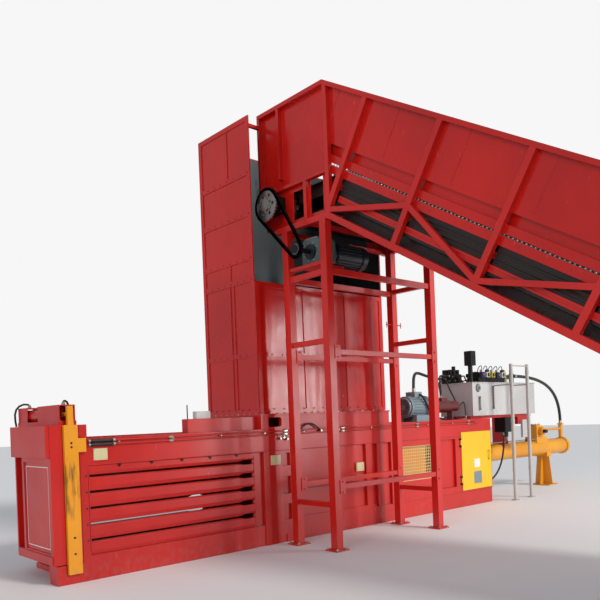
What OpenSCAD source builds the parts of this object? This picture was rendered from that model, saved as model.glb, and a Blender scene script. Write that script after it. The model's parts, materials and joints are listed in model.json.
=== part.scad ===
// Horizontal recycling baler with a closed bale chamber, a feed hopper and an inclined apron conveyor.
// Millimetres. X runs along the baler from the bale door to the main cylinder and Z is up.
// Y = 0 is the baler's centre line, and the conveyor comes in from the -Y side.
// The origin is on the floor, at the open end of the bale chamber.

/* [Bale chamber] */
// Inner width of the bale chamber
chamber_w = 1100; // [1000:10:1200]
// Inner height of the bale chamber
chamber_h = 1050; // [1000:10:1100]
// Length of the slatted bale chamber
chamber_len = 2200; // [2000:10:2500]
// Height of the chamber floor above the ground
floor_z = 250; // [230:5:280]
// Thickness of the side walls
wall_t = 50; // [44:1:60]
// Depth of the beams over the chamber
roof_h = 140; // [120:5:160]
// Height of a wire slot between two slats
slot_h = 24; // [16:1:30]
// Distance from one wire slot to the next
slot_pitch = 163; // [150:1:170]
// Number of wire slots in each side
slot_count = 5; // [3:1:5]
// Height of the first wire slot above the chamber floor
slot_start = 152; // [130:1:170]
// Length of the wide end of a wire slot
slot_eye_len = 200; // [120:5:260]
// Height of the wide end of a wire slot
slot_eye_h = 60; // [40:2:70]
// Thickness of the end flange along the baler
flange_t = 80; // [60:5:100]
// Height of the end flange above the roof beams
flange_up = 140; // [110:5:170]

/* [Bale door] */
// Thickness of the bale door's box
door_t = 300; // [260:5:330]
// Thickness of the door's plate beside the box
door_plate_t = 97; // [80:1:110]
// Width of the bale door's box
door_box_w = 970; // [900:10:1020]
// Gap between the door and the end flange
door_gap = 3; // [2:0.5:6]
// Height of the door's lower edge above the ground
door_z = 200; // [190:5:225]
// Depth of the box beam along the top of the door
door_beam_h = 320; // [280:10:350]
// Height of the slots for the wires in the door's inner plate
door_slot_h = 34; // [24:2:44]
// Radius of the door's hinge pin
door_pin_r = 30; // [24:1:36]
// Distance of the hinge pin outside the far side wall
door_pin_out = 80; // [75:1:95]
// Width of the lock bar along the baler
lock_bar_w = 140; // [120:5:160]
// Thickness of the lock bar
lock_bar_t = 40; // [30:2:50]
// Travel of the lock bar, from drawn out to pushed in
lock_travel = 30; // [20:1:36]

/* [Press section] */
// Length of the feed opening under the hopper
feed_len = 2300; // [2100:10:2500]
// Length of the rear section that houses the ram
rear_len = 2640; // [2600:10:2900]
// Length of the ram's body
ram_len = 900; // [800:10:1000]
// Clearance between the ram and the chamber
ram_gap = 5; // [3:1:8]
// Running clearance of the ram on its floor and guides
slide_gap = 0.5; // [0.3:0.1:0.8]
// Travel of the ram
ram_travel = 2540; // [2300:10:2600]

/* [Main cylinder] */
// Outer radius of the main cylinder's barrel
barrel_r = 160; // [150:1:175]
// Inner radius of the main cylinder's barrel
barrel_bore_r = 140; // [125:1:145]
// Radius of the piston rod
rod_r = 100; // [80:1:110]
// Length of the main cylinder's barrel
barrel_len = 3740; // [3600:10:4000]
// Radial clearance of the piston, the rod and each pin or shaft
run_gap = 0.05; // [0.02:0.01:0.1]
// Clearance under the saddles that sit on the barrel
saddle_gap = 0.3; // [0.1:0.1:0.8]

/* [Hopper] */
// Height of the collar under the hopper
collar_h = 190; // [150:5:220]
// Height of the hopper's front wall
hopper_front_h = 1660; // [1500:10:1750]
// Height of the hopper's other walls
hopper_h = 3720; // [3500:10:3800]
// Thickness of the hopper's sheet
sheet_t = 6; // [4:1:10]
// Width of the hopper's stiffening bars
hopper_bar_w = 60; // [40:5:80]
// Distance that the stiffening bars stand proud of the sheet
hopper_bar_t = 12; // [8:1:20]

/* [Conveyor] */
// Overall width of the conveyor
conv_w = 2040; // [1900:10:2100]
// Distance from the feed opening's front edge to the conveyor's side
conv_in = 290; // [240:5:320]
// Slope of the conveyor, degrees
slope = 31.2; // [28:0.1:33]
// Height of the conveyor's top edge at the head
conv_top_z = 5463; // [5350:1:5600]
// Depth of the head shaft's axis below the top edge
head_drop = 1249; // [1160:1:1310]
// Depth of the sideboards
board_h = 610; // [560:10:640]
// Distance from the top edge down to the lower chord
truss_h = 1300; // [1280:5:1340]
// Width of the truss tubes
tube = 70; // [60:1:80]
// Distance from the last truss post to the tail shaft
post_end = 330; // [300:5:400]
// Number of truss posts on the slope, on each side
post_count = 7; // [6:1:7]
// Depth of the carrying surface below the top edge
carry_b = 834; // [826:1:845]
// Radius from the shafts' axes to the apron's outer face
apron_r = 180; // [170:1:186]
// Length of one apron pan
pan_pitch = 200; // [150:5:240]
// Thickness of the apron pans
pan_t = 6; // [4:1:8]
// Height of the lips on the apron pans
pan_lip = 20; // [12:1:26]
// Radius of the head shaft and the tail shaft
shaft_r = 45; // [35:1:50]
// Distance from the bend down the slope to the tail shaft
tail_s = 7900; // [7700:10:7960]

/* [Chain drive] */
// Pitch of the drive chain
chain_p = 38.1; // [38.1, 44.45]
// Teeth of the large sprocket
big_teeth = 32; // [28:1:34]
// Teeth of the small sprocket
small_teeth = 16; // [14:1:18]
// Links in the drive chain
chain_links = 68; // [66:1:72]
// Angle of the drive below the horizontal, degrees
drive_angle = 51.7; // [48:0.1:55]

/* [Support] */
// Width of the square legs
leg_w = 100; // [90:5:110]
// Distance between the two rows of legs
leg_gap_y = 670; // [600:10:700]
// Half the distance between the anchor holes of a foot, each way
foot_hole_half = 75; // [72:1:80]
// Radius of the anchor holes in the feet
foot_hole_r = 9; // [7:0.5:11]

/* [Hydraulics] */
// Length of the oil tank
tank_len = 2050; // [1800:10:2200]
// Width of the oil tank
tank_w = 670; // [600:10:700]
// Height of the oil tank
tank_h = 570; // [500:10:620]
// Radius of the pump motor
motor_r = 180; // [160:5:200]

/* [Hidden] */

red = "firebrick";
yellow = "orange";
steel = "gray";
dark = "dimgray";
big = 20000;

// Heights and places that follow from the sizes above
y_in = chamber_w / 2;
y_out = y_in + wall_t;
ceil_z = floor_z + chamber_h;
roof_z = ceil_z + roof_h;
floor_t = 30;
skirt_t = 15;
fascia_z = ceil_z - 135;
x_press = chamber_len + 30;
sill_len = 60;
x_blade = x_press + 110;
x_feed0 = x_blade + sill_len;
x_feed1 = x_feed0 + feed_len;
x_rear = x_feed1 + sill_len;
x_end = x_rear + rear_len;
sill_out = 270;
slot_z0 = floor_z + slot_start;
axis_z = floor_z + chamber_h / 2;
door_top = roof_z + flange_up;

// Turns a profile drawn in Y and Z into a plate of thickness t that starts at x
module plate_x(x, t) {
    translate([x, 0, 0]) rotate([90, 0, 90]) linear_extrude(t) children();
}

// Turns a profile drawn in X and Z into a plate of thickness t that starts at y
module plate_y(y, t) {
    translate([0, y + t, 0]) rotate([90, 0, 0]) linear_extrude(t) children();
}

// A box from its lowest to its highest corner
module span(low, high) {
    translate(low) cube(high - low);
}

// A rod of radius r from x0 to x1 on an axis along X
module rod_x(x0, x1, y, z, r) {
    translate([x0, y, z]) rotate([0, 90, 0]) cylinder(h = x1 - x0, r = r, $fn = 48);
}

// A rod of radius r from y0 to y1 on an axis along Y
module rod_y(y0, y1, x, z, r) {
    translate([x, y1, z]) rotate([90, 0, 0]) cylinder(h = y1 - y0, r = r, $fn = 48);
}

// A rod of radius r from z0 to z1 on an axis along Z
module rod_z(z0, z1, x, y, r) {
    translate([x, y, z0]) cylinder(h = z1 - z0, r = r, $fn = 48);
}

// The same piece on both sides of the baler
module both_walls() {
    children();
    mirror([0, 1, 0]) children();
}

// Base frame: two side beams, cross beams, skirts and the block under the lock bar
base_h = floor_z - floor_t;
beam_t = 60;
y_beam = y_out - skirt_t;
cross_w = 160;
cross_n = 8;
cross_step = (x_end - cross_w) / (cross_n - 1);
skirt_len = chamber_len;
plinth_x = [x_feed0 + 500, x_feed1 - 300];
foot_h = door_z - 10;
front_sill = 60;
module base_frame() {
    color(red) {
        both_walls() {
            span([0, -y_beam, 0], [x_end, -y_beam + beam_t, base_h]);
            span([0, -y_out, 0], [skirt_len, -y_beam, floor_z]);
            // foot of the main post, a foot block and the plinth of the press section
            span([post_x, -y_out, 0], [post_x + post_w, -y_beam, floor_z]);
            span([x_feed0 + 300, -y_out, 0], [x_feed0 + 470, -y_beam, 100]);
            span([plinth_x[0], -y_out, 40], [plinth_x[1], -y_beam, floor_z]);
        }
        for (i = [0:cross_n - 1])
            span([i * cross_step, -y_beam + beam_t, 0], [i * cross_step + cross_w, y_beam - beam_t, base_h]);
        difference() {
            span([-sill_out, -y_out, 0], [0, -y_out + 200, foot_h]);
            span([bar_x0 - 5, -y_out - 1, bar_z0 - 5], [bar_x1 + 5, lock_seat_y, foot_h + 1]);
        }
        span([-front_sill, -y_beam + beam_t, 0], [0, y_beam - beam_t, front_sill]);
    }
}

module chamber_floor() {
    color(steel) span([0, -y_beam, base_h], [x_end, y_beam, floor_z]);
}

// End flange: a portal around the chamber's open end, with a keeper for the lock bar's hook. The hook
// goes in past a relief for its arm, and its tooth then stands behind the keeper's lip.
hook_z = roof_z - 135;
hook_h = 140;
hook_arm_t = 20;
hook_tooth_x = 27;
hook_len = 52;
keeper_gap = 3;
module end_flange() {
    color(red) difference() {
        span([0, -y_out, floor_z], [flange_t, y_out, door_top]);
        span([-1, -y_in, floor_z - 1], [flange_t + 1, y_in, ceil_z]);
        span([-1, -y_out - 1, hook_z - keeper_gap],
            [hook_len + keeper_gap, relief_y, hook_z + hook_h + keeper_gap]);
        span([hook_tooth_x - keeper_gap, relief_y - 1, hook_z - keeper_gap],
            [hook_len + keeper_gap, relief_y + lock_travel + keeper_gap, hook_z + hook_h + keeper_gap]);
    }
}

// One slat of the chamber's side wall, folded like a shallow channel
slat_fold = 14;
slat_x1 = chamber_len;
module slat(z0, z1) {
    fold_h = min(42, (z1 - z0) / 3);
    difference() {
        plate_x(flange_t, slat_x1 - flange_t)
            polygon([[-y_in, z0], [-y_out + slat_fold, z0], [-y_out, z0 + fold_h],
                [-y_out, z1 - fold_h / 3], [-y_out + slat_fold, z1], [-y_in, z1]]);
        for (z = [z0 - slot_h / 2, z1 + slot_h / 2]) slot_eye(z);
    }
}

// The wide end of a wire slot, cut into the slats above and below it
module slot_eye(z) {
    r = slot_eye_h / 2;
    if (z > floor_z + 1 && z < fascia_z - 1)
        plate_y(-y_out - 1, wall_t + 2) translate([slat_x1 - slot_eye_len, z]) {
            polygon([[-60, 0], [40, -r], [slot_eye_len - r, -r], [slot_eye_len - r, r], [40, r]]);
            translate([slot_eye_len - r, 0]) circle(r = r, $fn = 32);
        }
}

module slats() {
    for (i = [0:slot_count]) {
        z0 = i == 0 ? floor_z : slot_z0 + (i - 1) * slot_pitch + slot_h / 2;
        z1 = i == slot_count ? fascia_z : slot_z0 + i * slot_pitch - slot_h / 2;
        slat(z0, z1);
    }
}

module near_slats() {
    color(red) slats();
}

module far_slats() {
    color(red) mirror([0, 1, 0]) slats();
}

// Beams along the top of both sides, deeper over the chamber and the feed opening
module top_beams() {
    color(red) both_walls() {
        plate_y(-y_out, wall_t)
            polygon([[flange_t, fascia_z], [x_rear, fascia_z], [x_rear, ceil_z], [x_end, ceil_z],
                [x_end, roof_z], [flange_t, roof_z]]);
    }
}

// Chamber roof: a liner plate under cross beams, with a covered stiffener in front of the hopper
roof_t = 25;
roof_beam_w = 60;
roof_beam_n = 7;
cover_len = 1010;
cover_w = 120;
cover_h = 160;
module chamber_roof() {
    roof_step = (x_blade - flange_t - roof_beam_w) / (roof_beam_n - 1);
    color(red) {
        span([flange_t, -y_in, ceil_z], [x_blade, y_in, ceil_z + roof_t]);
        for (i = [0:roof_beam_n - 1])
            span([flange_t + i * roof_step, -y_in, ceil_z + roof_t],
                [flange_t + i * roof_step + roof_beam_w, y_in, roof_z]);
        span([x_collar - cover_len, -y_in + 30, roof_z], [x_collar, -y_in + 30 + cover_w, roof_z + cover_h]);
    }
}

// Side wall of the press section: a plate set back behind posts, with inspection windows
post_d = 38;
post_x = x_press + 130;
post_w = 190;
window_x = x_press + 430;
window_w = 135;
window_z = [[280, 480], [610, 830], [967, 1130]];
module press_wall() {
    y_plate = -y_out + post_d;
    difference() {
        union() {
            span([chamber_len, y_plate, floor_z], [x_rear, -y_in, fascia_z]);
            // main post at the feed opening's front edge
            span([post_x, -y_out, floor_z], [post_x + post_w, y_plate, fascia_z]);
            // column with the three windows
            difference() {
                span([post_x + post_w, -y_out + 6, floor_z], [window_x + window_w + 60, y_plate, fascia_z]);
                for (z = window_z)
                    span([window_x, -y_out, z[0]], [window_x + window_w, y_plate + 1, z[1]]);
            }
            // face plate of the press section, and the bars along its foot and its middle
            span([plinth_x[0], -y_out + 14, axis_z - 120], [x_rear - 620, y_plate, fascia_z]);
            span([plinth_x[0], -y_out, floor_z], [plinth_x[1], y_plate, floor_z + 40]);
            span([plinth_x[0], -y_out + 22, floor_z + 40], [x_rear - 620, y_plate, axis_z - 130]);
            // upright channels in front of the rear section
            for (x = [x_rear - 545, x_rear - 310])
                span([x, -y_out, floor_z], [x + 125, y_plate, fascia_z]);
        }
    }
}

module near_press_wall() {
    color(red) press_wall();
}

module far_press_wall() {
    color(red) mirror([0, 1, 0]) press_wall();
}

// Rear side walls: a deep frame around the ram's housing
mesh_x0 = x_rear + 60;
mesh_x1 = mesh_x0 + 980;
mesh_z0 = 550;
mesh_z1 = 1075;
recess_x0 = mesh_x1 + 130;
recess_x1 = recess_x0 + 430;
door_x0 = recess_x1 + 180;
door_x1 = x_end - 60;
door_z0 = 300;
door_z1 = 1200;
module rear_frame() {
    difference() {
        span([x_rear, -y_out, floor_z], [x_end, -y_in, ceil_z]);
        // the face is set back between the posts
        span([recess_x0, -y_out - 1, 350], [recess_x1, -y_in - 10, 1130]);
    }
}

module near_rear_wall() {
    color(red) {
        difference() {
            rear_frame();
            span([mesh_x0, -y_out - 1, mesh_z0], [mesh_x1, -y_in + 1, mesh_z1]);
            span([door_x0, -y_out - 1, door_z0], [door_x1, -y_in + 1, door_z1]);
        }
    }
}

module far_rear_wall() {
    color(red) mirror([0, 1, 0]) difference() {
        rear_frame();
        for (x = [mesh_x0 + 40, door_x0 - 60])
            span([x, -y_out - 1, 350], [x + 800, -y_in - 10, 1130]);
    }
}

// Rear deck: a plate over cross beams, from the feed opening's rear edge to the bulkhead
deck_t = 20;
deck_beam_n = 6;
module rear_deck() {
    deck_step = (x_end - x_feed1 - sill_len) / (deck_beam_n - 1);
    color(red) {
        span([x_feed1, -y_in, roof_z - deck_t], [x_end, y_in, roof_z]);
        for (i = [0:deck_beam_n - 1])
            span([x_feed1 + i * deck_step, -y_in, ceil_z],
                [x_feed1 + i * deck_step + sill_len, y_in, roof_z - deck_t]);
    }
}

// Rear bulkhead, bored for the main cylinder's rod
bulkhead_t = 60;
module rear_bulkhead() {
    color(red) difference() {
        span([x_end - bulkhead_t, -y_in, floor_z], [x_end, y_in, ceil_z]);
        rod_x(x_end - bulkhead_t - 1, x_end + 1, 0, axis_z, rod_r + 30);
    }
}

// Guide bars that the ram's grooves run on
guide_z = ceil_z - 150;
guide_h = 40;
guide_d = 25;
module ram_guides() {
    color(steel) both_walls()
        span([x_feed0 + 20, -y_in, guide_z], [x_end - bulkhead_t, -y_in + guide_d, guide_z + guide_h]);
}

// Guard with square holes in the rear wall's window
mesh_pitch = 46;
mesh_bar = 10;
module mesh_guard() {
    nx = floor((mesh_x1 - mesh_x0 - mesh_bar) / mesh_pitch);
    nz = floor((mesh_z1 - mesh_z0 - mesh_bar) / mesh_pitch);
    px = (mesh_x1 - mesh_x0 - mesh_bar) / nx;
    pz = (mesh_z1 - mesh_z0 - mesh_bar) / nz;
    color(dark) plate_y(-y_out + 8, 3) difference() {
        translate([mesh_x0, mesh_z0]) square([mesh_x1 - mesh_x0, mesh_z1 - mesh_z0]);
        for (i = [0:nx - 1], j = [0:nz - 1])
            translate([mesh_x0 + mesh_bar + i * px, mesh_z0 + mesh_bar + j * pz])
                square([px - mesh_bar, pz - mesh_bar]);
    }
}

// Access door over the cylinder's coupling, a folded panel on two hinge knuckles
access_t = 14;
access_lap = 30;
access_pin_r = 8;
access_pin_x = door_x0 - access_lap - 12;
access_pin_y = -y_out - 12;
module access_door() {
    color("gold") {
        difference() {
            span([door_x0 - access_lap, -y_out - access_t, door_z0 - access_lap],
                [door_x1 + access_lap, -y_out - 1, door_z1 + access_lap]);
            span([door_x0 - access_lap + 8, -y_out - access_t + 3, door_z0 - access_lap + 8],
                [door_x1 + access_lap - 8, -y_out, door_z1 + access_lap - 8]);
        }
        for (z = [door_z0 + 100, door_z1 - 180]) difference() {
            union() {
                rod_z(z, z + 80, access_pin_x, access_pin_y, 12);
                span([access_pin_x, -y_out - access_t, z], [door_x0 - access_lap, -y_out - access_t + 4, z + 80]);
            }
            rod_z(z - 1, z + 81, access_pin_x, access_pin_y, access_pin_r + run_gap);
        }
        // pull handle
        span([door_x1 - 60, -y_out - access_t - 26, 740], [door_x1 - 40, -y_out - access_t, 760]);
        span([door_x1 - 60, -y_out - access_t - 26, 880], [door_x1 - 40, -y_out - access_t, 900]);
        span([door_x1 - 60, -y_out - access_t - 34, 740], [door_x1 - 40, -y_out - access_t - 26, 900]);
    }
}

// Hinge leaves of the access door, with their pins
module access_hinge() {
    color(dark) for (z = [door_z0 + 100, door_z1 - 180]) {
        rod_z(z - 40, z + 110, access_pin_x, access_pin_y, access_pin_r);
        for (zl = [z - 31, z + 81]) union() {
            rod_z(zl, zl + 30, access_pin_x, access_pin_y, 12);
            span([access_pin_x - 40, -y_out - 5, zl], [access_pin_x, -y_out, zl + 30]);
            span([access_pin_x - 12, -y_out - 12, zl], [access_pin_x - 6, -y_out - 5, zl + 30]);
        }
    }
}

// Fixed shear blade at the front edge of the feed opening
module shear_blade() {
    color(steel) difference() {
        span([x_blade, -y_in, ceil_z], [x_feed0, y_in, roof_z]);
        for (i = [-3:3])
            translate([x_blade - 1, i * chamber_w / 8, ceil_z + roof_h / 2])
                rotate([0, 90, 0]) cylinder(h = sill_len + 2, r = 14, $fn = 32);
    }
}

// Collar on top of the feed opening
x_collar = x_feed0 - 60;
x_collar1 = x_feed1 + 40;
collar_z = roof_z + collar_h;
hopper_y = y_out - 50;
hopper_x0 = x_collar + 20;
hopper_x1 = x_collar1 - 20;
module collar_ring(z0, z1, out, in) {
    difference() {
        span([x_collar - out, -y_out - out, z0], [x_collar1 + out, y_out + out, z1]);
        span([x_feed0 + in, -y_in + in, z0 - 1], [x_feed1 - in, y_in - in, z1 + 1]);
    }
}

module hopper_collar() {
    flange_h = 20;
    color(red) difference() {
        union() {
            collar_ring(roof_z, collar_z - flange_h, 0, 0);
            collar_ring(collar_z - flange_h, collar_z, 12, 0);
        }
        // hand hole in the near side
        plate_y(-y_out - 40, wall_t + 50)
            translate([x_feed0 + 165, roof_z + 85]) rounded(210, 120, 34);
    }
}

// A rectangle with round corners, centred on the origin
module rounded(w, h, r) {
    square([w - 2 * r, h], center = true);
    square([w, h - 2 * r], center = true);
    for (x = [-1, 1], y = [-1, 1])
        translate([x * (w / 2 - r), y * (h / 2 - r)]) circle(r = r, $fn = 32);
}

// Hopper panels: sheet with flat bars across it at the seams, and upright bars between them
seam_z = [0, 720, 1660, 1930, 2480, 2990];
module hopper_bars(w, h) {
    for (z = seam_z)
        if (z + hopper_bar_w <= h) translate([0, z]) square([w, hopper_bar_w]);
    translate([0, h - hopper_bar_w]) square([w, hopper_bar_w]);
    for (x = [0, w - hopper_bar_w]) translate([x, 0]) square([hopper_bar_w, h]);
}

module hopper_left_panel() {
    w = 2 * hopper_y;
    color(red) {
        plate_x(hopper_x0, sheet_t) translate([-hopper_y, collar_z]) square([w, hopper_h]);
        plate_x(hopper_x0 - hopper_bar_t, hopper_bar_t) translate([-hopper_y, collar_z]) {
            hopper_bars(w, hopper_h);
            for (y = [w * 0.38, w * 0.45]) translate([y, 0]) square([16, seam_z[2]]);
            translate([w * 0.43, seam_z[2]]) square([16, seam_z[3] - seam_z[2]]);
            translate([w * 0.42, seam_z[5]]) square([16, hopper_h - seam_z[5]]);
        }
    }
}

module hopper_right_panel() {
    w = 2 * hopper_y;
    color(red) {
        plate_x(hopper_x1 - sheet_t, sheet_t) translate([-hopper_y, collar_z]) square([w, hopper_h]);
        plate_x(hopper_x1, hopper_bar_t) translate([-hopper_y, collar_z]) {
            hopper_bars(w, hopper_h);
            translate([w * 0.45, 0]) square([16, hopper_h]);
        }
    }
}

module hopper_far_panel() {
    x0 = hopper_x0 + sheet_t;
    w = hopper_x1 - sheet_t - x0;
    color(red) {
        plate_y(hopper_y - sheet_t, sheet_t) translate([x0, collar_z]) square([w, hopper_h]);
        plate_y(hopper_y, hopper_bar_t) translate([x0, collar_z]) {
            hopper_bars(w, hopper_h);
            for (x = [w / 3, 2 * w / 3]) translate([x, 0]) square([hopper_bar_w, hopper_h]);
        }
    }
}

module hopper_near_panel() {
    x0 = hopper_x0 + sheet_t;
    w = hopper_x1 - sheet_t - x0;
    color(red) {
        plate_y(-hopper_y, sheet_t) translate([x0, collar_z]) square([w, hopper_front_h]);
        plate_y(-hopper_y - hopper_bar_t, hopper_bar_t) translate([x0, collar_z]) {
            for (x = [0, w / 3, 2 * w / 3, w - hopper_bar_w])
                translate([x, 0]) square([hopper_bar_w, hopper_front_h]);
            for (z = [0, seam_z[1], hopper_front_h - hopper_bar_w]) translate([0, z]) square([w, hopper_bar_w]);
        }
    }
}

// Bale door: a welded box with a deeper beam on top, a set back far column and a framed front panel
door_x1_face = -door_gap;
door_x0_face = -door_gap - door_t;
door_y0 = -y_out;
door_y1 = y_out;
door_box_y1 = door_y0 + door_box_w;
rib_t = 20;
door_knuckle_h = 120;
door_pin_x = -door_gap - 90;
door_pin_y = y_out + door_pin_out;
hinge_z = [320, 760, 1300];
bar_x1 = -30;
bar_x0 = bar_x1 - lock_bar_w;
tenon_z = [420, 1120];
tenon_h = 60;
tenon_len = 180;
module bale_door() {
    panel_y1 = door_box_y1 - 200;
    beam_z = door_top - door_beam_h;
    cell_x0 = door_x0_face + 100;
    color(red) {
        difference() {
            union() {
                span([door_x0_face, door_y0, door_z], [door_x1_face, door_box_y1, door_top]);
                span([door_x1_face - door_plate_t, door_box_y1, door_z], [door_x1_face, door_y1, door_top]);
                span([door_x0_face - 40, door_y0 + 10, beam_z], [door_x0_face, door_box_y1, door_top]);
                span([door_x0_face - 12, door_y0 + 10, door_z + 10], [door_x0_face, panel_y1, door_z + 90]);
            }
            // the far column is set back
            span([door_x0_face - 50, panel_y1, door_z + 90], [door_x0_face + 60, door_box_y1 - 25, beam_z]);
            // seat of the lock bar in the door's edge, and of its hook's arm
            span([bar_x0 - 2, door_y0 - 1, door_z - 1], [bar_x1 + 2, lock_seat_y, door_top + 1]);
            span([bar_x1, door_y0 - 1, hook_z - keeper_gap], [1, relief_y, hook_z + hook_h + keeper_gap]);
            // field of the front panel
            span([door_x0_face - 1, door_y0 + 70, door_z + 110], [door_x0_face + 14, panel_y1 - 50, beam_z - 50]);
            // hollow between the front panel and the cells, open at the bottom
            span([door_x0_face + 75, door_y0 + 60, door_z - 1], [cell_x0 + 50, door_box_y1 - 90, beam_z]);
            // cells between the ribs, open to the chamber through the wire slots
            for (i = [0:slot_count - 1]) {
                z = slot_z0 + i * slot_pitch;
                span([door_x1_face - door_plate_t + 12, door_y0 + 200, z - slot_pitch / 2 + rib_t / 2],
                    [door_x1_face - 30, door_y1 - 40, z + slot_pitch / 2 - rib_t / 2]);
                span([door_x1_face - 31, door_y0 + 60, z - door_slot_h / 2],
                    [door_x1_face + 1, door_y1 - 40, z + door_slot_h / 2]);
            }
            // pockets for the lock bar's tenons
            for (z = tenon_z)
                span([bar_x0 + 29, door_y0 - 1, z - 2],
                    [bar_x1 - 29, door_y0 + tenon_len + lock_travel + 12, z + tenon_h + 2]);
        }
        for (z = hinge_z) difference() {
            union() {
                rod_z(z, z + door_knuckle_h, door_pin_x, door_pin_y, 60);
                span([door_pin_x - 60, door_y1, z], [door_pin_x + 30, door_pin_y, z + door_knuckle_h]);
            }
            rod_z(z - 1, z + door_knuckle_h + 1, door_pin_x, door_pin_y, door_pin_r + run_gap);
        }
    }
}

// Hinge brackets on the end flange, with their pins
lug_h = 50;
lug_gap = 1;
module door_hinge() {
    color(dark) for (z = hinge_z) {
        for (zl = [z - lug_gap - lug_h, z + door_knuckle_h + lug_gap]) union() {
            span([door_pin_x, y_out + 30, zl], [flange_t, door_pin_y + 50, zl + lug_h]);
            span([2, y_out, zl], [flange_t, y_out + 30, zl + lug_h]);
            rod_z(zl, zl + lug_h, door_pin_x, door_pin_y, 50);
        }
        rod_z(z - lug_gap - lug_h, z + door_knuckle_h + lug_gap + lug_h + 30, door_pin_x, door_pin_y, door_pin_r);
    }
}

// Lock bar: an upright flat bar, drawn out of its seat so that the door is free. It slides in along +Y.
bar_y1 = -y_out - 0.5;
bar_y0 = bar_y1 - lock_bar_t;
lock_seat_y = bar_y1 + lock_travel + 2;
relief_y = bar_y0 + hook_arm_t + lock_travel + keeper_gap;
bar_z0 = door_z - 100;
lock_axis_x = (bar_x0 + bar_x1) / 2;
lock_axis_z = door_top + 110;
lock_rod_r = 22;
module lock_bar() {
    color(yellow) {
        span([bar_x0, bar_y0, bar_z0], [bar_x1, bar_y1, door_top]);
        // hook
        span([bar_x1, bar_y0, hook_z], [hook_len, bar_y0 + hook_arm_t, hook_z + hook_h]);
        span([hook_tooth_x, bar_y0, hook_z], [hook_len, relief_y - 0.5, hook_z + hook_h]);
        // tenons that slide in the door's edge
        for (z = tenon_z)
            span([bar_x0 + 31, bar_y1, z], [bar_x1 - 31, -y_out + tenon_len, z + tenon_h]);
        // ear and rod of the lock cylinder
        span([bar_x0 + 40, bar_y0, door_top], [bar_x1 - 40, bar_y1, lock_axis_z + 80]);
        rod_y(bar_y1, lock_y0 + 330, lock_axis_x, lock_axis_z, lock_rod_r);
        rod_y(lock_y0 + 330 - 30, lock_y0 + 330, lock_axis_x, lock_axis_z, lock_bore_r - run_gap);
    }
}

// Lock cylinder on top of the door, on a raised sole between two covers
lock_y0 = -y_out + 250;
lock_y1 = y_out - 50;
lock_bore_r = 40;
lock_x0 = lock_axis_x - 85;
lock_x1 = lock_axis_x + 85;
sole_h = 45;
module lock_cover(y0, y1) {
    top = lock_axis_z + 95;
    span([lock_x0, y0, door_top + sole_h], [lock_x0 + 12, y1, top]);
    span([lock_x1 - 12, y0, door_top + sole_h], [lock_x1, y1, top]);
    span([lock_x0, y0, top - 12], [lock_x1, y1, top]);
}

module lock_cylinder() {
    color(red) difference() {
        union() {
            span([lock_x0 - 8, lock_seat_y + 3, door_top], [lock_x1 + 8, lock_y1, door_top + sole_h]);
            rod_y(lock_y0, lock_y1 - 90, lock_axis_x, lock_axis_z, 62);
            for (y = [lock_y0, lock_y1 - 150])
                span([lock_axis_x - 65, y, door_top], [lock_axis_x + 65, y + 60, lock_axis_z + 70]);
            lock_cover(lock_seat_y + 8, -y_out + 590);
            lock_cover(lock_y1 - 260, lock_y1);
            for (y = [30, 70]) rod_z(lock_axis_z, lock_axis_z + 84, lock_axis_x, y, 16);
        }
        rod_y(lock_y0 - 1, lock_y0 + 41, lock_axis_x, lock_axis_z, lock_rod_r + run_gap);
        rod_y(lock_y0 + 40, lock_y1 - 130, lock_axis_x, lock_axis_z, lock_bore_r);
    }
}

// Ram: a welded box with wire grooves across its face and grooves in its sides for the guide bars
ram_x0 = x_feed1 + 40;
ram_x1 = ram_x0 + ram_len;
ram_y = y_in - ram_gap;
ram_top = ceil_z - ram_gap - 20;
blade_w = 60;
module ram() {
    ram_z0 = floor_z + slide_gap;
    color(yellow) difference() {
        span([ram_x0, -ram_y, ram_z0], [ram_x1, ram_y, ram_top]);
        // step for the blade
        span([ram_x0 - 1, -ram_y - 1, ram_top - blade_w], [ram_x0 + blade_w, ram_y + 1, ram_top + 1]);
        // wire grooves
        for (i = [0:slot_count - 1])
            span([ram_x0 - 1, -ram_y - 1, slot_z0 + i * slot_pitch - 20],
                [ram_x0 + 50, ram_y + 1, slot_z0 + i * slot_pitch + 20]);
        // guide grooves
        both_walls()
            span([ram_x0 - 1, -ram_y - 1, guide_z - slide_gap],
                [ram_x1 + 1, -y_in + guide_d + slide_gap, guide_z + guide_h + slide_gap]);
        // cells open to the rear, on each side of the rod's socket
        both_walls() for (z = [floor_z + 40, axis_z + 20])
            span([ram_x0 + 90, 170, z], [ram_x1 + 1, ram_y - 60, z + chamber_h / 2 - 180]);
        // socket of the rod
        rod_x(ram_x0 + 260, ram_x1 + 1, 0, axis_z, rod_r + run_gap / 2);
    }
}

module ram_blade() {
    color(steel) difference() {
        span([ram_x0, -ram_y, ram_top - blade_w], [ram_x0 + blade_w, ram_y, ram_top]);
        for (i = [-3:3])
            translate([ram_x0 - 1, i * chamber_w / 8, ram_top - blade_w / 2])
                rotate([0, 90, 0]) cylinder(h = blade_w + 2, r = 12, $fn = 32);
    }
}

// Tail plate that closes the feed opening while the ram is forward
tail_end = x_end - bulkhead_t - 100;
module ram_tail_plate() {
    color(steel) {
        span([ram_x0, -ram_y, ram_top], [tail_end, ram_y, ram_top + 20]);
        both_walls()
            span([ram_x1, -ram_y + 120, ram_top - 60], [tail_end, -ram_y + 135, ram_top]);
    }
}

// Piston rod, with its piston at the rear of the barrel
piston_len = 160;
rod_end = x_end + barrel_len - 260;
module piston_rod() {
    color("silver") {
        rod_x(ram_x0 + 260, rod_end, 0, axis_z, rod_r);
        rod_x(rod_end - piston_len, rod_end, 0, axis_z, barrel_bore_r - run_gap);
    }
}

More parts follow.
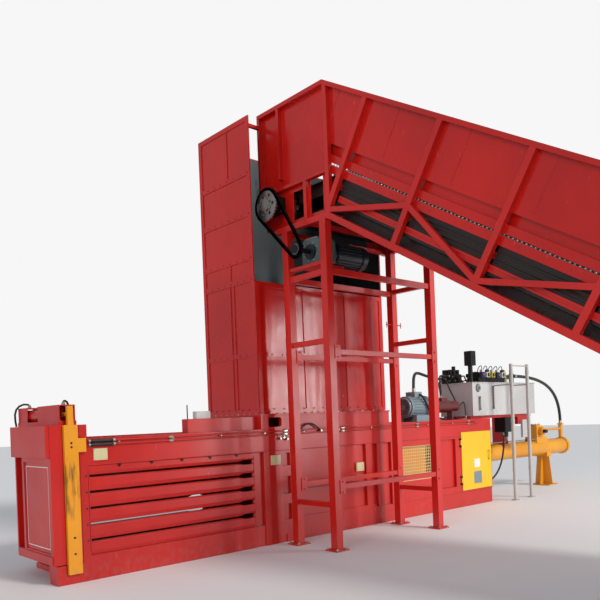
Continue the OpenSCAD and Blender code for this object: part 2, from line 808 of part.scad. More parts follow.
// Main cylinder: barrel, gland, mounting flange and end cap
gland_len = 180;
cap_len = 90;
module main_cylinder() {
    x1 = x_end + barrel_len;
    color(yellow) translate([x_end, 0, axis_z]) rotate([0, 90, 0]) rotate_extrude($fn = 96)
        polygon([[rod_r + run_gap, 0], [barrel_r + 80, 0], [barrel_r + 80, 50], [barrel_r + 20, 50],
            [barrel_r + 20, 110], [barrel_r, 110], [barrel_r, barrel_len - 140], [barrel_r + 18, barrel_len - 140],
            [barrel_r + 18, barrel_len - 60], [barrel_r, barrel_len - 30], [barrel_r - 40, barrel_len],
            [0, barrel_len], [0, barrel_len - cap_len], [barrel_bore_r, barrel_len - cap_len],
            [barrel_bore_r, gland_len], [rod_r + run_gap, gland_len]]);
}

// Flared stand under the barrel
stand_x = x_end + barrel_len - 880;
module cylinder_stand() {
    color(yellow) {
        difference() {
            union() {
                plate_x(stand_x - 10, 20)
                    polygon([[-190, 20], [190, 20], [120, axis_z - 60], [-120, axis_z - 60]]);
                plate_y(-10, 20)
                    polygon([[stand_x - 170, 20], [stand_x + 170, 20], [stand_x + 80, axis_z - 170],
                        [stand_x - 80, axis_z - 170]]);
                span([stand_x - 80, -135, axis_z - 190], [stand_x + 80, 135, axis_z - 60]);
            }
            rod_x(stand_x - 300, stand_x + 300, 0, axis_z, barrel_r + saddle_gap);
        }
        span([stand_x - 190, -210, 0], [stand_x + 190, 210, 20]);
    }
}

// Prefill valve on the barrel, with the pipe to the rear port
valve_x = x_end + barrel_len - 1340;
barrel_top = axis_z + barrel_r;
pipe_z = barrel_top + 200;
port_x = x_end + barrel_len - 100;
module prefill_valve() {
    color(yellow) {
        difference() {
            span([valve_x, -130, axis_z + 60], [valve_x + 420, 130, barrel_top + 70]);
            rod_x(valve_x - 1, valve_x + 421, 0, axis_z, barrel_r + saddle_gap);
        }
        span([valve_x + 40, -110, barrel_top + 70], [valve_x + 300, 110, barrel_top + 290]);
        rod_z(barrel_top + 290, barrel_top + 320, valve_x + 170, 0, 105);
        rod_y(-190, -110, valve_x + 170, barrel_top + 180, 80);
        rod_y(110, 160, valve_x + 170, barrel_top + 180, 60);
        rod_x(valve_x + 300, valve_x + 345, 0, pipe_z, 60);
        rod_x(valve_x + 345, port_x, 0, pipe_z, 24);
        difference() {
            rod_z(axis_z + barrel_r - 20, pipe_z + 90, port_x, 0, 45);
            rod_x(port_x - 60, port_x + 60, 0, axis_z, barrel_r + 18 + saddle_gap);
        }
        rod_z(pipe_z + 90, pipe_z + 110, port_x, 0, 62);
    }
}

// Conveyor: places that the sides, the truss and the apron share
conv_x0 = x_feed0 + conv_in - 60;
conv_x1 = conv_x0 + conv_w;
conv_xc = (conv_x0 + conv_x1) / 2;
bend_y = -y_out - 990;
head_end_y = -y_out + 220;
head_y = -y_out - 88;
head_z = conv_top_z - head_drop;
slope_len = tail_s + 250;
axis_b = carry_b + apron_r;
head_low_z = conv_top_z - (truss_h + tube) / cos(slope);

// A point of the slope's side view: s down the slope from the bend, b square below the top edge
function on_slope(s, b) = [bend_y - s * cos(slope) + b * sin(slope), conv_top_z - s * sin(slope) - b * cos(slope)];
tail_c = on_slope(tail_s, axis_b);
head_c = [head_y, head_z];
bend_s = ((conv_top_z - axis_b * cos(slope)) - head_z) / sin(slope);
bend_c = on_slope(bend_s, axis_b);

// Puts a profile drawn along the slope (s to the right, b upwards) into the side view
module slope_view() {
    translate([bend_y, conv_top_z]) rotate(180 + slope) children();
}

// Extrudes a section (x across the conveyor, y = depth below the top edge) from s0 down to s1
module slope_bar(s0, s1) {
    translate([0, bend_y, conv_top_z]) rotate([slope - 90, 0, 0]) translate([0, 0, -s1])
        linear_extrude(s1 - s0) children();
}

// The same piece on both sides of the conveyor
module both_sides() {
    children();
    translate([2 * conv_xc, 0, 0]) mirror([1, 0, 0]) children();
}

// Section of a sideboard: top rail, board, recess, skirt and the channel that the apron runs on
rail_b = carry_b - 12;
rail_h = 88;
board_x = 60;
module side_section() {
    translate([0, 0]) square([board_x, 50]);
    translate([board_x, 0]) square([5, board_h]);
    translate([board_x, board_h - 5]) square([60, 5]);
    translate([board_x + 55, board_h - 5]) square([5, 115]);
    translate([board_x, board_h + 105]) square([60, 5]);
    translate([board_x, board_h + 105]) square([5, rail_b - 22 - board_h - 105]);
}

module rail_section() {
    difference() {
        translate([board_x, rail_b]) square([62, rail_h]);
        translate([board_x + 6, rail_b + 7]) square([62, rail_h - 14]);
    }
}

// Side plate of the head, with its two windows and the opening round the shaft
head_plate_z0 = head_z - 300;
module head_profile() {
    difference() {
        polygon([[bend_y, conv_top_z], [bend_y, head_low_z + tube], [bend_y + 850, head_low_z + tube],
            [head_end_y - 60, head_z - 260], [head_end_y, head_z + 120], [head_end_y, conv_top_z]]);
        translate([bend_y + 95, head_low_z + tube + 60]) square([215, 400]);
        translate([bend_y + 430, head_low_z + tube + 60]) square([190, 340]);
        translate([head_y, head_z]) circle(r = shaft_r + 15, $fn = 48);
    }
}

module side() {
    color(red) {
        difference() {
            union() {
                slope_bar(0, slope_len) translate([conv_x0, 0]) side_section();
                slope_bar(500, slope_len - 200) translate([conv_x0, 0]) rail_section();
            }
            // the slope's profiles stop at the bend
            span([0, bend_y, 0], [big, 0, big]);
        }
        plate_x(conv_x0 + board_x, 5) head_profile();
        // plate that carries the tail shaft's bearing
        plate_x(conv_x0 + board_x, 5) slope_view() difference() {
            translate([tail_s - 300, rail_b + rail_h - 5]) square([550, truss_h - rail_b - rail_h + 5]);
            translate([tail_s, axis_b]) circle(r = shaft_r + 15, $fn = 48);
        }
        // rails and posts of the head
        plate_x(conv_x0, board_x) {
            translate([bend_y, conv_top_z - 50]) square([head_end_y - bend_y, 50]);
            translate([bend_y, head_low_z + tube + 460]) square([head_end_y - bend_y - 300, 40]);
            translate([bend_y + 330, head_low_z + tube]) square([50, 460]);
            translate([head_end_y - 40, head_z + 120]) square([40, conv_top_z - head_z - 170]);
            translate([head_end_y - 420, head_z + 320]) square([40, conv_top_z - head_z - 370]);
        }
    }
}

module left_side() {
    side();
}

module right_side() {
    translate([2 * conv_xc, 0, 0]) mirror([1, 0, 0]) side();
}

// Lower chord in the side view: down the slope from the bend, and level under the head
chord_end_s = tail_s + 200;
module chord_profile() {
    difference() {
        slope_view() translate([0, truss_h]) square([chord_end_s, tube]);
        translate([bend_y, 0]) square([big, big]);
    }
    translate([bend_y, head_low_z]) square([900, tube]);
}

// Upright at the bend in the side view. The posts stay clear of the top rail and of the boards
slope_gap = 0.1;
module bend_post_profile() {
    difference() {
        translate([bend_y - board_x, head_low_z]) square([board_x, conv_top_z - head_low_z]);
        slope_view() translate([-200, -200]) square([1000, 250 + slope_gap]);
        chord_profile();
    }
}

// Lower chords, with a foot under the tail end of each
foot_c = on_slope(tail_s - 200, truss_h);
foot_y = foot_c[0];
module truss_chords() {
    color(red) both_sides() {
        plate_x(conv_x0, tube) chord_profile();
        plate_x(conv_x0, tube) difference() {
            translate([foot_y, foot_t]) square([tube, foot_c[1]]);
            slope_view() square([slope_len, truss_h + tube]);
        }
        span([conv_x0 - 40, foot_y - 60, 0], [conv_x0 + tube + 40, foot_y + tube + 60, foot_t]);
    }
}

// Posts square to the slope, and the upright at the bend
post_s0 = 790;
post_pitch = (tail_s - post_end - post_s0) / (post_count - 1);
module truss_posts() {
    color(red) both_sides() plate_x(conv_x0, board_x - slope_gap) {
        bend_post_profile();
        difference() {
            slope_view() for (i = [0:post_count - 1])
                translate([post_s0 + i * post_pitch - tube / 2, 50 + slope_gap])
                    square([tube, truss_h - 50 - slope_gap]);
            translate([bend_y - board_x, 0]) square([big, big]);
        }
    }
}

// Diagonals between the chord and the rail, up and down by turns
diag_w = 60;
module truss_diagonals() {
    b0 = rail_b + rail_h;
    color(red) both_sides() plate_x(conv_x0, board_x) difference() {
        slope_view() for (i = [0:post_count - 2]) {
            s0 = post_s0 + i * post_pitch + tube / 2;
            s1 = s0 + post_pitch - tube;
            polygon(i % 2 == 0
                ? [[s0, truss_h], [s0, truss_h - diag_w], [s1, b0 - diag_w / 2], [s1, b0 + diag_w / 2]]
                : [[s0, b0 - diag_w / 2], [s1, truss_h - diag_w], [s1, truss_h], [s0, b0 + diag_w / 2]]);
        }
        translate([bend_y - board_x, 0]) square([big, big]);
    }
}

// Ties across the conveyor, between the chords and between the rails, and link bars to the hopper's sides
tie_h = 50;
link_z = conv_top_z - 180;
module truss_ties() {
    color(red) {
        for (i = [0:post_count - 1])
            plate_x(conv_x0 + tube, conv_w - 2 * tube) slope_view()
                translate([post_s0 + i * post_pitch - 30, truss_h + tube - tie_h]) square([60, tie_h]);
        for (i = [0:post_count - 1])
            plate_x(conv_x0 + board_x, conv_w - 2 * board_x) slope_view()
                translate([post_s0 + i * post_pitch - 30, axis_b - 30]) square([60, 60]);
        for (y = [bend_y + 300, bend_y + 820])
            span([conv_x0 + tube, y, head_low_z], [conv_x1 - tube, y + 60, head_low_z + tie_h]);
        for (x = [[hopper_x0 + sheet_t, conv_x0], [conv_x1, hopper_x1 - sheet_t]])
            span([x[0], head_end_y - 40, link_z], [x[1], head_end_y, link_z + 40]);
    }
}

// Rails under the strands of the carrying run, in the side view: up the slope, round the bend and level
rail_low = 30;
rail_stop = 200;
module carry_profile() {
    top = plate_r0 - run_gap;
    foot = tail_c + polar(rail_stop, slope);
    polygon(concat([foot + polar(rail_low, 90 + slope), foot + polar(top, 90 + slope)],
        arc(bend_c, top, 90 + slope, 90, 6),
        [head_c + [-rail_stop, top], head_c + [-rail_stop, rail_low],
        bend_c + polar(rail_low / cos(slope / 2), 90 + slope / 2)]));
}

// Carrying rails, angles under the return run, and guards between the posts under the side rails
guard_t = 4;
module apron_rails() {
    b1 = axis_b + apron_r + pan_lip;
    color(dark) for (x = strand_x) plate_x(x, strand_gap + 2 * chain_plate_t) carry_profile();
    color(dark) both_sides() for (i = [0:post_count - 2])
        plate_x(conv_x0 + board_x + 26, guard_t) slope_view()
            translate([post_s0 + i * post_pitch + 45, rail_b + rail_h]) square([post_pitch - 90, 285]);
    color(dark) for (x = [conv_x0 + board_x + 122, conv_xc - 40, conv_x1 - board_x - 202])
        slope_bar(900, tail_s - 300) translate([x, b1]) {
            square([80, 6]);
            square([6, truss_h + tube - tie_h - b1]);
        }
}

// Apron: pans with lips on a closed path round both shafts, on two strands of chain side plates
chain_plate_t = 6;
strand_gap = 36;
plate_r0 = apron_r - 51;
apron_x0 = conv_x0 + board_x + 130;
apron_x1 = conv_x1 - board_x - 130;
strand_x = [apron_x0 + 40, apron_x1 - 40 - strand_gap - 2 * chain_plate_t];
slope_run = tail_s - bend_s;
head_run = norm(head_c - bend_c);

// Outline of the closed path at distance r from the line between the shafts
function polar(r, a) = r * [cos(a), sin(a)];
function arc(c, r, a0, a1, n) = [for (i = [0:n]) c + polar(r, a0 + (a1 - a0) * i / n)];
module loop_outline(r) {
    polygon(concat(arc(tail_c, r, 90 + slope, 270 + slope, 32), [bend_c + polar(r / cos(slope / 2), slope / 2 - 90)],
        arc(head_c, r, -90, 90, 32), arc(bend_c, r, 90, 90 + slope, 6)));
}

// A lip every pan along the carrying run (side = 1) or the return run (side = -1)
module pan_lips(side) {
    n_slope = floor((slope_run - 500) / pan_pitch);
    n_head = floor((head_run - 250) / pan_pitch);
    for (i = [0:n_slope])
        translate(tail_c) rotate(slope)
            translate([120 + i * pan_pitch, side > 0 ? apron_r - 1 : -apron_r - pan_lip]) square([12, pan_lip + 1]);
    for (i = [0:n_head])
        translate(bend_c)
            translate([140 + i * pan_pitch, side > 0 ? apron_r - 1 : -apron_r - pan_lip]) square([12, pan_lip + 1]);
}

module apron() {
    color(dark) {
        plate_x(apron_x0, apron_x1 - apron_x0) difference() {
            union() {
                loop_outline(apron_r);
                pan_lips(1);
                pan_lips(-1);
            }
            loop_outline(apron_r - pan_t);
        }
        for (x = strand_x) {
            for (dx = [0, strand_gap + chain_plate_t])
                plate_x(x + dx, chain_plate_t) difference() {
                    loop_outline(apron_r - pan_t / 2);
                    loop_outline(plate_r0);
                }
        }
    }
}

// One chain sprocket: n teeth with round roots, on a disc of thickness t
module sprocket_2d(n, pitch, roller_r, tip) {
    pr = pitch / 2 / sin(180 / n);
    difference() {
        circle(r = pr + tip, $fn = 96);
        for (i = [0:n - 1]) rotate(i * 360 / n) translate([pr, 0]) tooth_gap(roller_r, tip);
    }
}

// Tooth gap: a round seat that opens outwards
module tooth_gap(r, tip) {
    circle(r = r, $fn = 24);
    polygon([[0, -r], [tip + 20, -r * 1.9], [tip + 20, r * 1.9], [0, r]]);
}

// Head shaft with the two apron sprockets, and the tail shaft with the same
apron_teeth = 9;
apron_chain_p = 2 * (apron_r - 31) * sin(180 / apron_teeth);
module apron_shaft(c, x0, x1) {
    rod_x(x0, x1, c[0], c[1], shaft_r);
    for (x = strand_x) {
        translate([x + chain_plate_t + 4, c[0], c[1]]) rotate([90, 0, 90])
            linear_extrude(strand_gap - 8) sprocket_2d(apron_teeth, apron_chain_p, 22, 16);
        rod_x(x - 30, x + strand_gap + 2 * chain_plate_t + 30, c[0], c[1], 85);
    }
}

bearing_w = 60;
sprocket_x = conv_x0 - 142;
module head_shaft() {
    color("silver") apron_shaft(head_c, sprocket_x - 40, conv_x1 + bearing_w + 20);
}

module tail_shaft() {
    color("silver") apron_shaft(tail_c, conv_x0 - bearing_w - 20, conv_x1 + bearing_w + 20);
}

// Pillow blocks on the outside of both sides
module bearing(c) {
    translate([conv_x0, 0, 0]) mirror([1, 0, 0]) difference() {
        union() {
            rod_x(0, bearing_w, c[0], c[1], 85);
            plate_x(0, 30) translate([c[0] - 130, c[1] - 95]) square([260, 190]);
            plate_x(-board_x, board_x) difference() {
                translate([c[0] - 130, c[1] - 95]) square([260, 190]);
                translate(c) circle(r = 75, $fn = 48);
            }
        }
        rod_x(-board_x - 1, bearing_w + 1, c[0], c[1], shaft_r + run_gap);
    }
}

module shaft_bearings() {
    color(dark) both_sides() {
        bearing(head_c);
        bearing(tail_c);
    }
}

// Large sprocket on the head shaft's end, and small sprocket on the gearmotor's shaft
chain_c0 = chain_links - (big_teeth + small_teeth) / 2;
chain_k = pow((big_teeth - small_teeth) / (2 * PI), 2);
drive_len = chain_p / 4 * (chain_c0 + sqrt(chain_c0 * chain_c0 - 8 * chain_k));
motor_c = head_c + drive_len * [-cos(drive_angle), -sin(drive_angle)];
big_pr = chain_p / 2 / sin(180 / big_teeth);
small_pr = chain_p / 2 / sin(180 / small_teeth);
chain_roller_r = 11;
sprocket_t = 20;
module drive_sprocket() {
    color("silver") translate([sprocket_x - sprocket_t / 2, head_c[0], head_c[1]]) rotate([90, 0, 90]) difference() {
        union() {
            linear_extrude(sprocket_t) sprocket_2d(big_teeth, chain_p, chain_roller_r, 9);
            translate([0, 0, -25]) cylinder(h = sprocket_t + 60, r = 75, $fn = 64);
        }
        translate([0, 0, -30]) cylinder(h = sprocket_t + 80, r = shaft_r + run_gap / 2, $fn = 48);
        for (i = [0:5]) rotate(i * 60) translate([125, 0, -1]) cylinder(h = sprocket_t + 2, r = 22, $fn = 32);
    }
}

motor_shaft_r = 28;
module motor_sprocket() {
    color("silver") translate([sprocket_x - sprocket_t / 2, motor_c[0], motor_c[1]]) rotate([90, 0, 90]) {
        linear_extrude(sprocket_t) sprocket_2d(small_teeth, chain_p, chain_roller_r, 9);
        translate([0, 0, -20]) cylinder(h = sprocket_t + 40, r = 55, $fn = 64);
        cylinder(h = gearbox_x + 40 - sprocket_x + sprocket_t / 2, r = motor_shaft_r, $fn = 48);
    }
}

// Drive chain: two scalloped side plates round both sprockets, with rollers along the straight runs
chain_gap = sprocket_t + 4;
chain_side_t = 6;
wrap = asin((big_pr - small_pr) / drive_len);
straight = drive_len * cos(wrap);

// Band of width 2w round both sprockets, in the plane of the drive
module chain_band(w) {
    rotate(drive_angle + 180) difference() {
        chain_fill(w);
        chain_fill(-w);
    }
}

module chain_fill(w) {
    polygon(concat(arc([0, 0], big_pr + w, 90 - wrap, 270 + wrap, 40),
        arc([drive_len, 0], small_pr + w, wrap - 90, 90 - wrap, 16)));
}

module drive_chain() {
    color(dark) translate([sprocket_x, head_c[0], head_c[1]]) rotate([90, 0, 90]) {
        for (z = [-chain_gap / 2 - chain_side_t, chain_gap / 2])
            translate([0, 0, z]) linear_extrude(chain_side_t) chain_band(17);
        for (side = [-1, 1], i = [2:floor(straight / chain_p) - 2])
            rotate(drive_angle + 180) translate(big_pr * [sin(wrap), side * cos(wrap)]) rotate(-side * wrap)
                translate([(i + 0.5) * chain_p, 0, -chain_gap / 2 - 1]) cylinder(h = chain_gap + 2, r = 10, $fn = 24);
    }
}

// Gearmotor: reducer on a bracket plate between the legs, with its motor lying along X
gearbox_x = conv_x0 + 100;
module gearmotor() {
    color("slategray") difference() {
        union() {
            plate_x(gearbox_x, 260) translate(motor_c) difference() {
                translate([-150, -160]) square([300, 320]);
                for (i = [-1, 1], j = [-1, 1]) translate([i * 150, j * 160]) rotate(45) square(50, center = true);
            }
            rod_x(gearbox_x - 30, gearbox_x, motor_c[0], motor_c[1], 90);
            rod_x(gearbox_x + 260, gearbox_x + 340, motor_c[0], motor_c[1] + 10, 125);
            rod_x(gearbox_x + 340, gearbox_x + 860, motor_c[0], motor_c[1] + 10, 140);
            for (a = [7.5:15:352.5])
                translate([gearbox_x + 360, motor_c[0], motor_c[1] + 10]) rotate([a, 0, 0])
                    translate([0, -4, 110]) cube([400, 8, 45]);
            rod_x(gearbox_x + 780, gearbox_x + 860, motor_c[0], motor_c[1] + 10, 155);
            span([gearbox_x + 420, motor_c[0] - 70, motor_c[1] + 120], [gearbox_x + 600, motor_c[0] + 70, motor_c[1] + 200]);
        }
        rod_x(gearbox_x - 31, gearbox_x + 60, motor_c[0], motor_c[1], motor_shaft_r + run_gap);
    }
}

// Support frame: four legs on feet
leg_y = [-y_out - 290, -y_out - 290 - leg_gap_y];
leg_x = [conv_x0, conv_x1 - leg_w];
leg_top = head_low_z;
foot_t = 16;
module support_legs() {
    color(red) for (x = leg_x, y = leg_y) {
        span([x, y, foot_t], [x + leg_w, y + leg_w, leg_top]);
        difference() {
            translate([x + leg_w / 2 - 100, y + leg_w / 2 - 100, 0]) cube([200, 200, foot_t]);
            for (i = [-1, 1], j = [-1, 1])
                rod_z(-1, foot_t + 1, x + leg_w / 2 + i * foot_hole_half, y + leg_w / 2 + j * foot_hole_half, foot_hole_r);
        }
    }
}

// Ties between the legs, and the cradle of the gearmotor
tie = 60;
tie_top_z = head_low_z - 621;
ear_z = tie_top_z - 400;
rail_z = [710, 2290];
low_tie_z = 500;
cradle_z = motor_c[1] - 160 - 40;
module support_ties() {
    in_x = [leg_x[0] + leg_w, leg_x[1]];
    in_y = [leg_y[1] + leg_w, leg_y[0]];
    color(red) {
        for (y = leg_y) {
            span([in_x[0], y + 20, tie_top_z], [in_x[1], y + 20 + tie, tie_top_z + 70]);
            for (z = rail_z) span([in_x[0], y, z], [in_x[1], y + tie, z + tie]);
        }
        for (x = leg_x) for (z = x == leg_x[0] ? [low_tie_z, rail_z[1] + 140, tie_top_z]
                : [low_tie_z, rail_z[1] + 240, tie_top_z + 35])
            span([x + 20, in_y[0], z], [x + 20 + tie, in_y[1], z + tie]);
        span([leg_x[0] + 20, in_y[0], cradle_z], [in_x[0], in_y[1], cradle_z + 40]);
        span([in_x[0], motor_c[0] - 150, cradle_z], [gearbox_x + 400, motor_c[0] + 150, cradle_z + 40]);
    }
}

// Clamp plates with clamp screws where the long rails meet the legs
clamp_t = 10;
clamp_w = 90;
module leg_clamps() {
    color(red) for (y = leg_y, z = rail_z, x = [leg_x[0] + leg_w - 20, leg_x[1] - clamp_w + 70]) {
        difference() {
            span([x, y - clamp_t, z - 50], [x + clamp_w, y, z + tie + 50]);
            for (dz = [-30, tie + 30]) rod_y(y - clamp_t - 1, y + 1, x + clamp_w / 2, z + dz, 8);
        }
        for (dz = [-30, tie + 30]) rod_y(y - clamp_t - 16, y, x + clamp_w / 2, z + dz, 8);
    }
    // screws with cross handles through the rear leg's ear
    color(dark) {
        rod_x(leg_x[1] - 110, leg_x[1], leg_y[0] + 30, ear_z, 8);
        rod_x(leg_x[1] + leg_w, leg_x[1] + leg_w + 110, leg_y[0] + 30, ear_z, 8);
        for (x = [leg_x[1] - 100, leg_x[1] + leg_w + 100]) rod_z(ear_z - 40, ear_z + 40, x, leg_y[0] + 30, 6);
    }
}

// Oil tank with its cleaning cover, gauge, filler and stiffening folds
tank_x0 = x_end - 350;
tank_y0 = -y_out + 100;
tank_z0 = roof_z + 50;
tank_x1 = tank_x0 + tank_len;
tank_y1 = tank_y0 + tank_w;
tank_top = tank_z0 + tank_h;
module oil_tank() {
    color("whitesmoke") {
        span([tank_x0, tank_y0, tank_z0], [tank_x1, tank_y1, tank_top]);
        // lid with a rim
        span([tank_x0 - 15, tank_y0 - 15, tank_top], [tank_x1 + 15, tank_y1 + 15, tank_top + 10]);
        rod_y(tank_y0 - 14, tank_y0, tank_x0 + 170, tank_top - 90, 62);
        rod_y(tank_y0 - 22, tank_y0 - 14, tank_x0 + 170, tank_top - 90, 45);
        for (x = [tank_x0 + 190, tank_x0 + 600]) rod_y(tank_y0 - 12, tank_y0, x, tank_z0 + 90, 9);
        span([tank_x0 + 175, tank_y0 - 16, tank_z0 + 100], [tank_x0 + 205, tank_y0, tank_z0 + 330]);
        span([tank_x0 + 600, tank_y0 - 16, tank_z0 + 110], [tank_x0 + 630, tank_y0, tank_top - 60]);
        rod_z(tank_top + 10, tank_top + 110, tank_x1 - 150, tank_y1 - 140, 50);
        rod_z(tank_top + 110, tank_top + 200, tank_x1 - 150, tank_y1 - 140, 75);
    }
}

// Frame under the tank: two channels on the deck, and a bracket down to the barrel
bracket_x = tank_x1 - 450;
module tank_frame() {
    color(red) {
        for (y = [tank_y0 + 60, tank_y1 - 120])
            span([tank_x0, y, roof_z], [tank_x1 - 60, y + 60, tank_z0]);
        span([bracket_x - 80, tank_y0 + 60, roof_z - 140], [bracket_x + 380, tank_y0 + 120, roof_z]);
        difference() {
            union() {
                span([bracket_x - 80, -140, axis_z], [bracket_x - 60, tank_y1 - 60, roof_z]);
                span([bracket_x - 61, -50, axis_z], [bracket_x + 200, tank_y1 - 100, roof_z]);
            }
            rod_x(bracket_x - 100, bracket_x + 300, 0, axis_z, barrel_r + saddle_gap);
        }
        span([bracket_x - 80, tank_y0 + 119, roof_z - 80], [bracket_x - 20, -139, roof_z]);
    }
}

// Electric motor of the pump, with cooling fins, feet and terminal box
pump_y = -320;
pump_x = mesh_x0 + 620;
pump_z = roof_z + motor_r + 50;
module pump_motor() {
    color("slategray") {
        rod_x(pump_x, pump_x + 60, pump_y, pump_z, motor_r - 10);
        rod_x(pump_x + 60, pump_x + 440, pump_y, pump_z, motor_r - 20);
        rod_x(pump_x + 440, pump_x + 480, pump_y, pump_z, motor_r);
        for (a = [15:15:345])
            translate([pump_x + 60, pump_y, pump_z]) rotate([a, 0, 0])
                translate([0, -4, motor_r - 40]) cube([380, 8, 36]);
        span([pump_x + 160, pump_y - 90, pump_z + motor_r - 30], [pump_x + 340, pump_y + 90, pump_z + motor_r + 60]);
        span([pump_x + 90, pump_y - 170, roof_z], [pump_x + 400, pump_y - 90, roof_z + 100]);
        span([pump_x + 90, pump_y + 90, roof_z], [pump_x + 400, pump_y + 170, roof_z + 100]);
    }
}

// Bell housing and piston pump on the motor's nose, on a foot
module hydraulic_pump() {
    x0 = pump_x + 480;
    color("maroon") {
        translate([x0, pump_y, pump_z]) rotate([0, 90, 0]) rotate_extrude($fn = 64)
            polygon([[0, 0], [motor_r, 0], [motor_r, 20], [motor_r - 45, 35], [motor_r - 45, 215],
                [motor_r - 20, 230], [motor_r - 20, 250], [105, 260], [105, 640], [85, 660], [85, 880],
                [70, 900], [0, 900]]);
        span([x0 + 400, pump_y - 70, pump_z + 70], [x0 + 560, pump_y + 70, pump_z + 140]);
        span([x0 + 100, pump_y - 70, roof_z], [x0 + 160, pump_y + 70, pump_z - motor_r + 50]);
        span([x0 + 700, pump_y - 50, roof_z], [x0 + 750, pump_y + 50, pump_z - 80]);
    }
}

// Valves on the tank's lid, and the small pump set under the tank
module valve_block() {
    z0 = tank_top + 10;
    x0 = tank_x0 + 20;
    y0 = tank_y0 + 30;
    y1 = tank_y1 - 20;
    color(dark) {
        // manifold at the back corner, with three valves and their coils
        span([x0, y1 - 200, z0], [x0 + 330, y1, z0 + 170]);
        for (i = [0:2]) {
            rod_z(z0 + 170, z0 + 250 + 60 * (i % 2), x0 + 55 + i * 110, y1 - 150, 34);
            span([x0 + 20 + i * 110, y1 - 100, z0 + 170], [x0 + 95 + i * 110, y1 - 10, z0 + 250]);
        }
        // return filter head with its box on top
        rod_z(z0, z0 + 290, x0 + 90, y0 + 70, 40);
        span([x0 + 20, y0, z0 + 290], [x0 + 160, y0 + 140, z0 + 540]);
        // bank of directional valves
        span([x0 + 230, y0, z0], [x0 + 1050, y0 + 240, z0 + 90]);
        for (i = [0:4]) {
            span([x0 + 250 + i * 160, y0 + 30, z0 + 90], [x0 + 350 + i * 160, y0 + 210, z0 + 175]);
            rod_y(y0 - 60, y0 + 30, x0 + 300 + i * 160, z0 + 132, 36);
            rod_y(y0 + 210, y0 + 290, x0 + 300 + i * 160, z0 + 132, 36);
        }
        // outlet elbow of the long hose
        rod_z(z0, z0 + 190, tank_x1 - 380, hose_y, 45);
        rod_x(tank_x1 - 380, tank_x1 - 290, hose_y, z0 + 140, 34);
        // small pump set
        span([bracket_x - 560, tank_y0 + 30, roof_z - 270], [bracket_x - 240, tank_y0 + 250, roof_z]);
        rod_z(roof_z - 360, roof_z - 270, bracket_x - 400, tank_y0 + 140, 60);
    }
}
hose_y = tank_y0 + 250;

// A tube of radius r swept along a list of points, with n sides
function unit(v) = v / norm(v);
function heading(p, i) = unit(i == 0 ? p[1] - p[0] : i == len(p) - 1 ? p[i] - p[i - 1]
    : unit(p[i + 1] - p[i]) + unit(p[i] - p[i - 1]));
module tube_along(p, r, n) {
    m = len(p);
    ref = [0.31, 0.17, 0.94];
    rings = [for (i = [0:m - 1]) let (t = heading(p, i), u = unit(cross(t, ref)), v = cross(t, u))
        for (k = [0:n - 1]) p[i] + r * (cos(k * 360 / n) * u + sin(k * 360 / n) * v)];
    sides = [for (i = [0:m - 2], k = [0:n - 1])
        [i * n + k, i * n + (k + 1) % n, (i + 1) * n + (k + 1) % n, (i + 1) * n + k]];
    polyhedron(points = rings, faces = concat([[for (k = [n - 1:-1:0]) k]], sides,
        [[for (k = [0:n - 1]) (m - 1) * n + k]]), convexity = 6);
}

// Points along a cubic from p0 to p3 that leaves towards p1 and arrives from p2, with straight ends
hose_end = 25;
function cubic(p0, p1, p2, p3, n) = let (a = p0 + hose_end * unit(p1 - p0), b = p3 + hose_end * unit(p2 - p3))
    concat([p0], [for (i = [0:n]) let (t = i / n, u = 1 - t)
        u * u * u * a + 3 * u * u * t * p1 + 3 * u * t * t * p2 + t * t * t * b], [p3]);

module oil_hoses() {
    lid_z = tank_top + 10;
    box_top = pump_z + motor_r + 60;
    out_x = tank_x1 - 290;
    man_x = tank_x0 + 20;
    color("black") {
        // from the tank's lid to the barrel's rear port
        tube_along(cubic([out_x, hose_y, lid_z + 140], [out_x + 1250, hose_y, lid_z + 140],
            [port_x, 0, pipe_z + 800], [port_x, 0, pipe_z + 110], 20), 30, 10);
        // from the motor's terminal box to the manifold
        tube_along(cubic([pump_x + 250, pump_y, box_top], [pump_x + 250, pump_y, box_top + 520],
            [man_x - 800, tank_y1 - 120, lid_z + 80], [man_x, tank_y1 - 120, lid_z + 80], 18), 24, 10);
    }
}

// Two pipes on clips along the near top beam
roof_pipe_r = 11;
module roof_pipes() {
    color(dark) for (i = [0, 1]) {
        z = roof_z - 30 - i * 40;
        rod_x(flange_t + 300, x_end - 400, -y_out - 14, z, roof_pipe_r);
        for (x = [flange_t + 340 : 650 : x_end - 450])
            span([x, -y_out - 14, z - 14], [x + 30, -y_out, z + 14]);
    }
    // full chamber switch on the roof: a wand and its box
    color(dark) {
        rod_z(roof_z + cover_h, roof_z + cover_h + 160, x_collar - cover_len + 20, -y_in + 60, 6);
        span([x_collar - cover_len + 140, -y_in + 50, roof_z + cover_h],
            [x_collar - cover_len + 330, -y_in + 130, roof_z + cover_h + 85]);
    }
}

// Two upright conduits beside the tank, joined near their tops and clipped to the tank
conduit_r = 30;
conduit_x = [x_end + 330, x_end + 860];
conduit_y = -y_out - 240;
conduit_h = 2370;
module conduit_pipes() {
    color("white") {
        for (x = conduit_x) {
            rod_z(10, conduit_h, x, conduit_y, conduit_r);
            rod_z(0, 10, x, conduit_y, 70);
            span([x - 12, conduit_y, tank_top - 60], [x + 12, tank_y0, tank_top - 36]);
        }
        rod_x(conduit_x[0], conduit_x[1], conduit_y, conduit_h - 30, 12);
        // junction box on the tank's bracket
        span([bracket_x + 20, tank_y0 + 20, roof_z - 390], [bracket_x + 280, tank_y0 + 60, roof_z - 60]);
    }
}

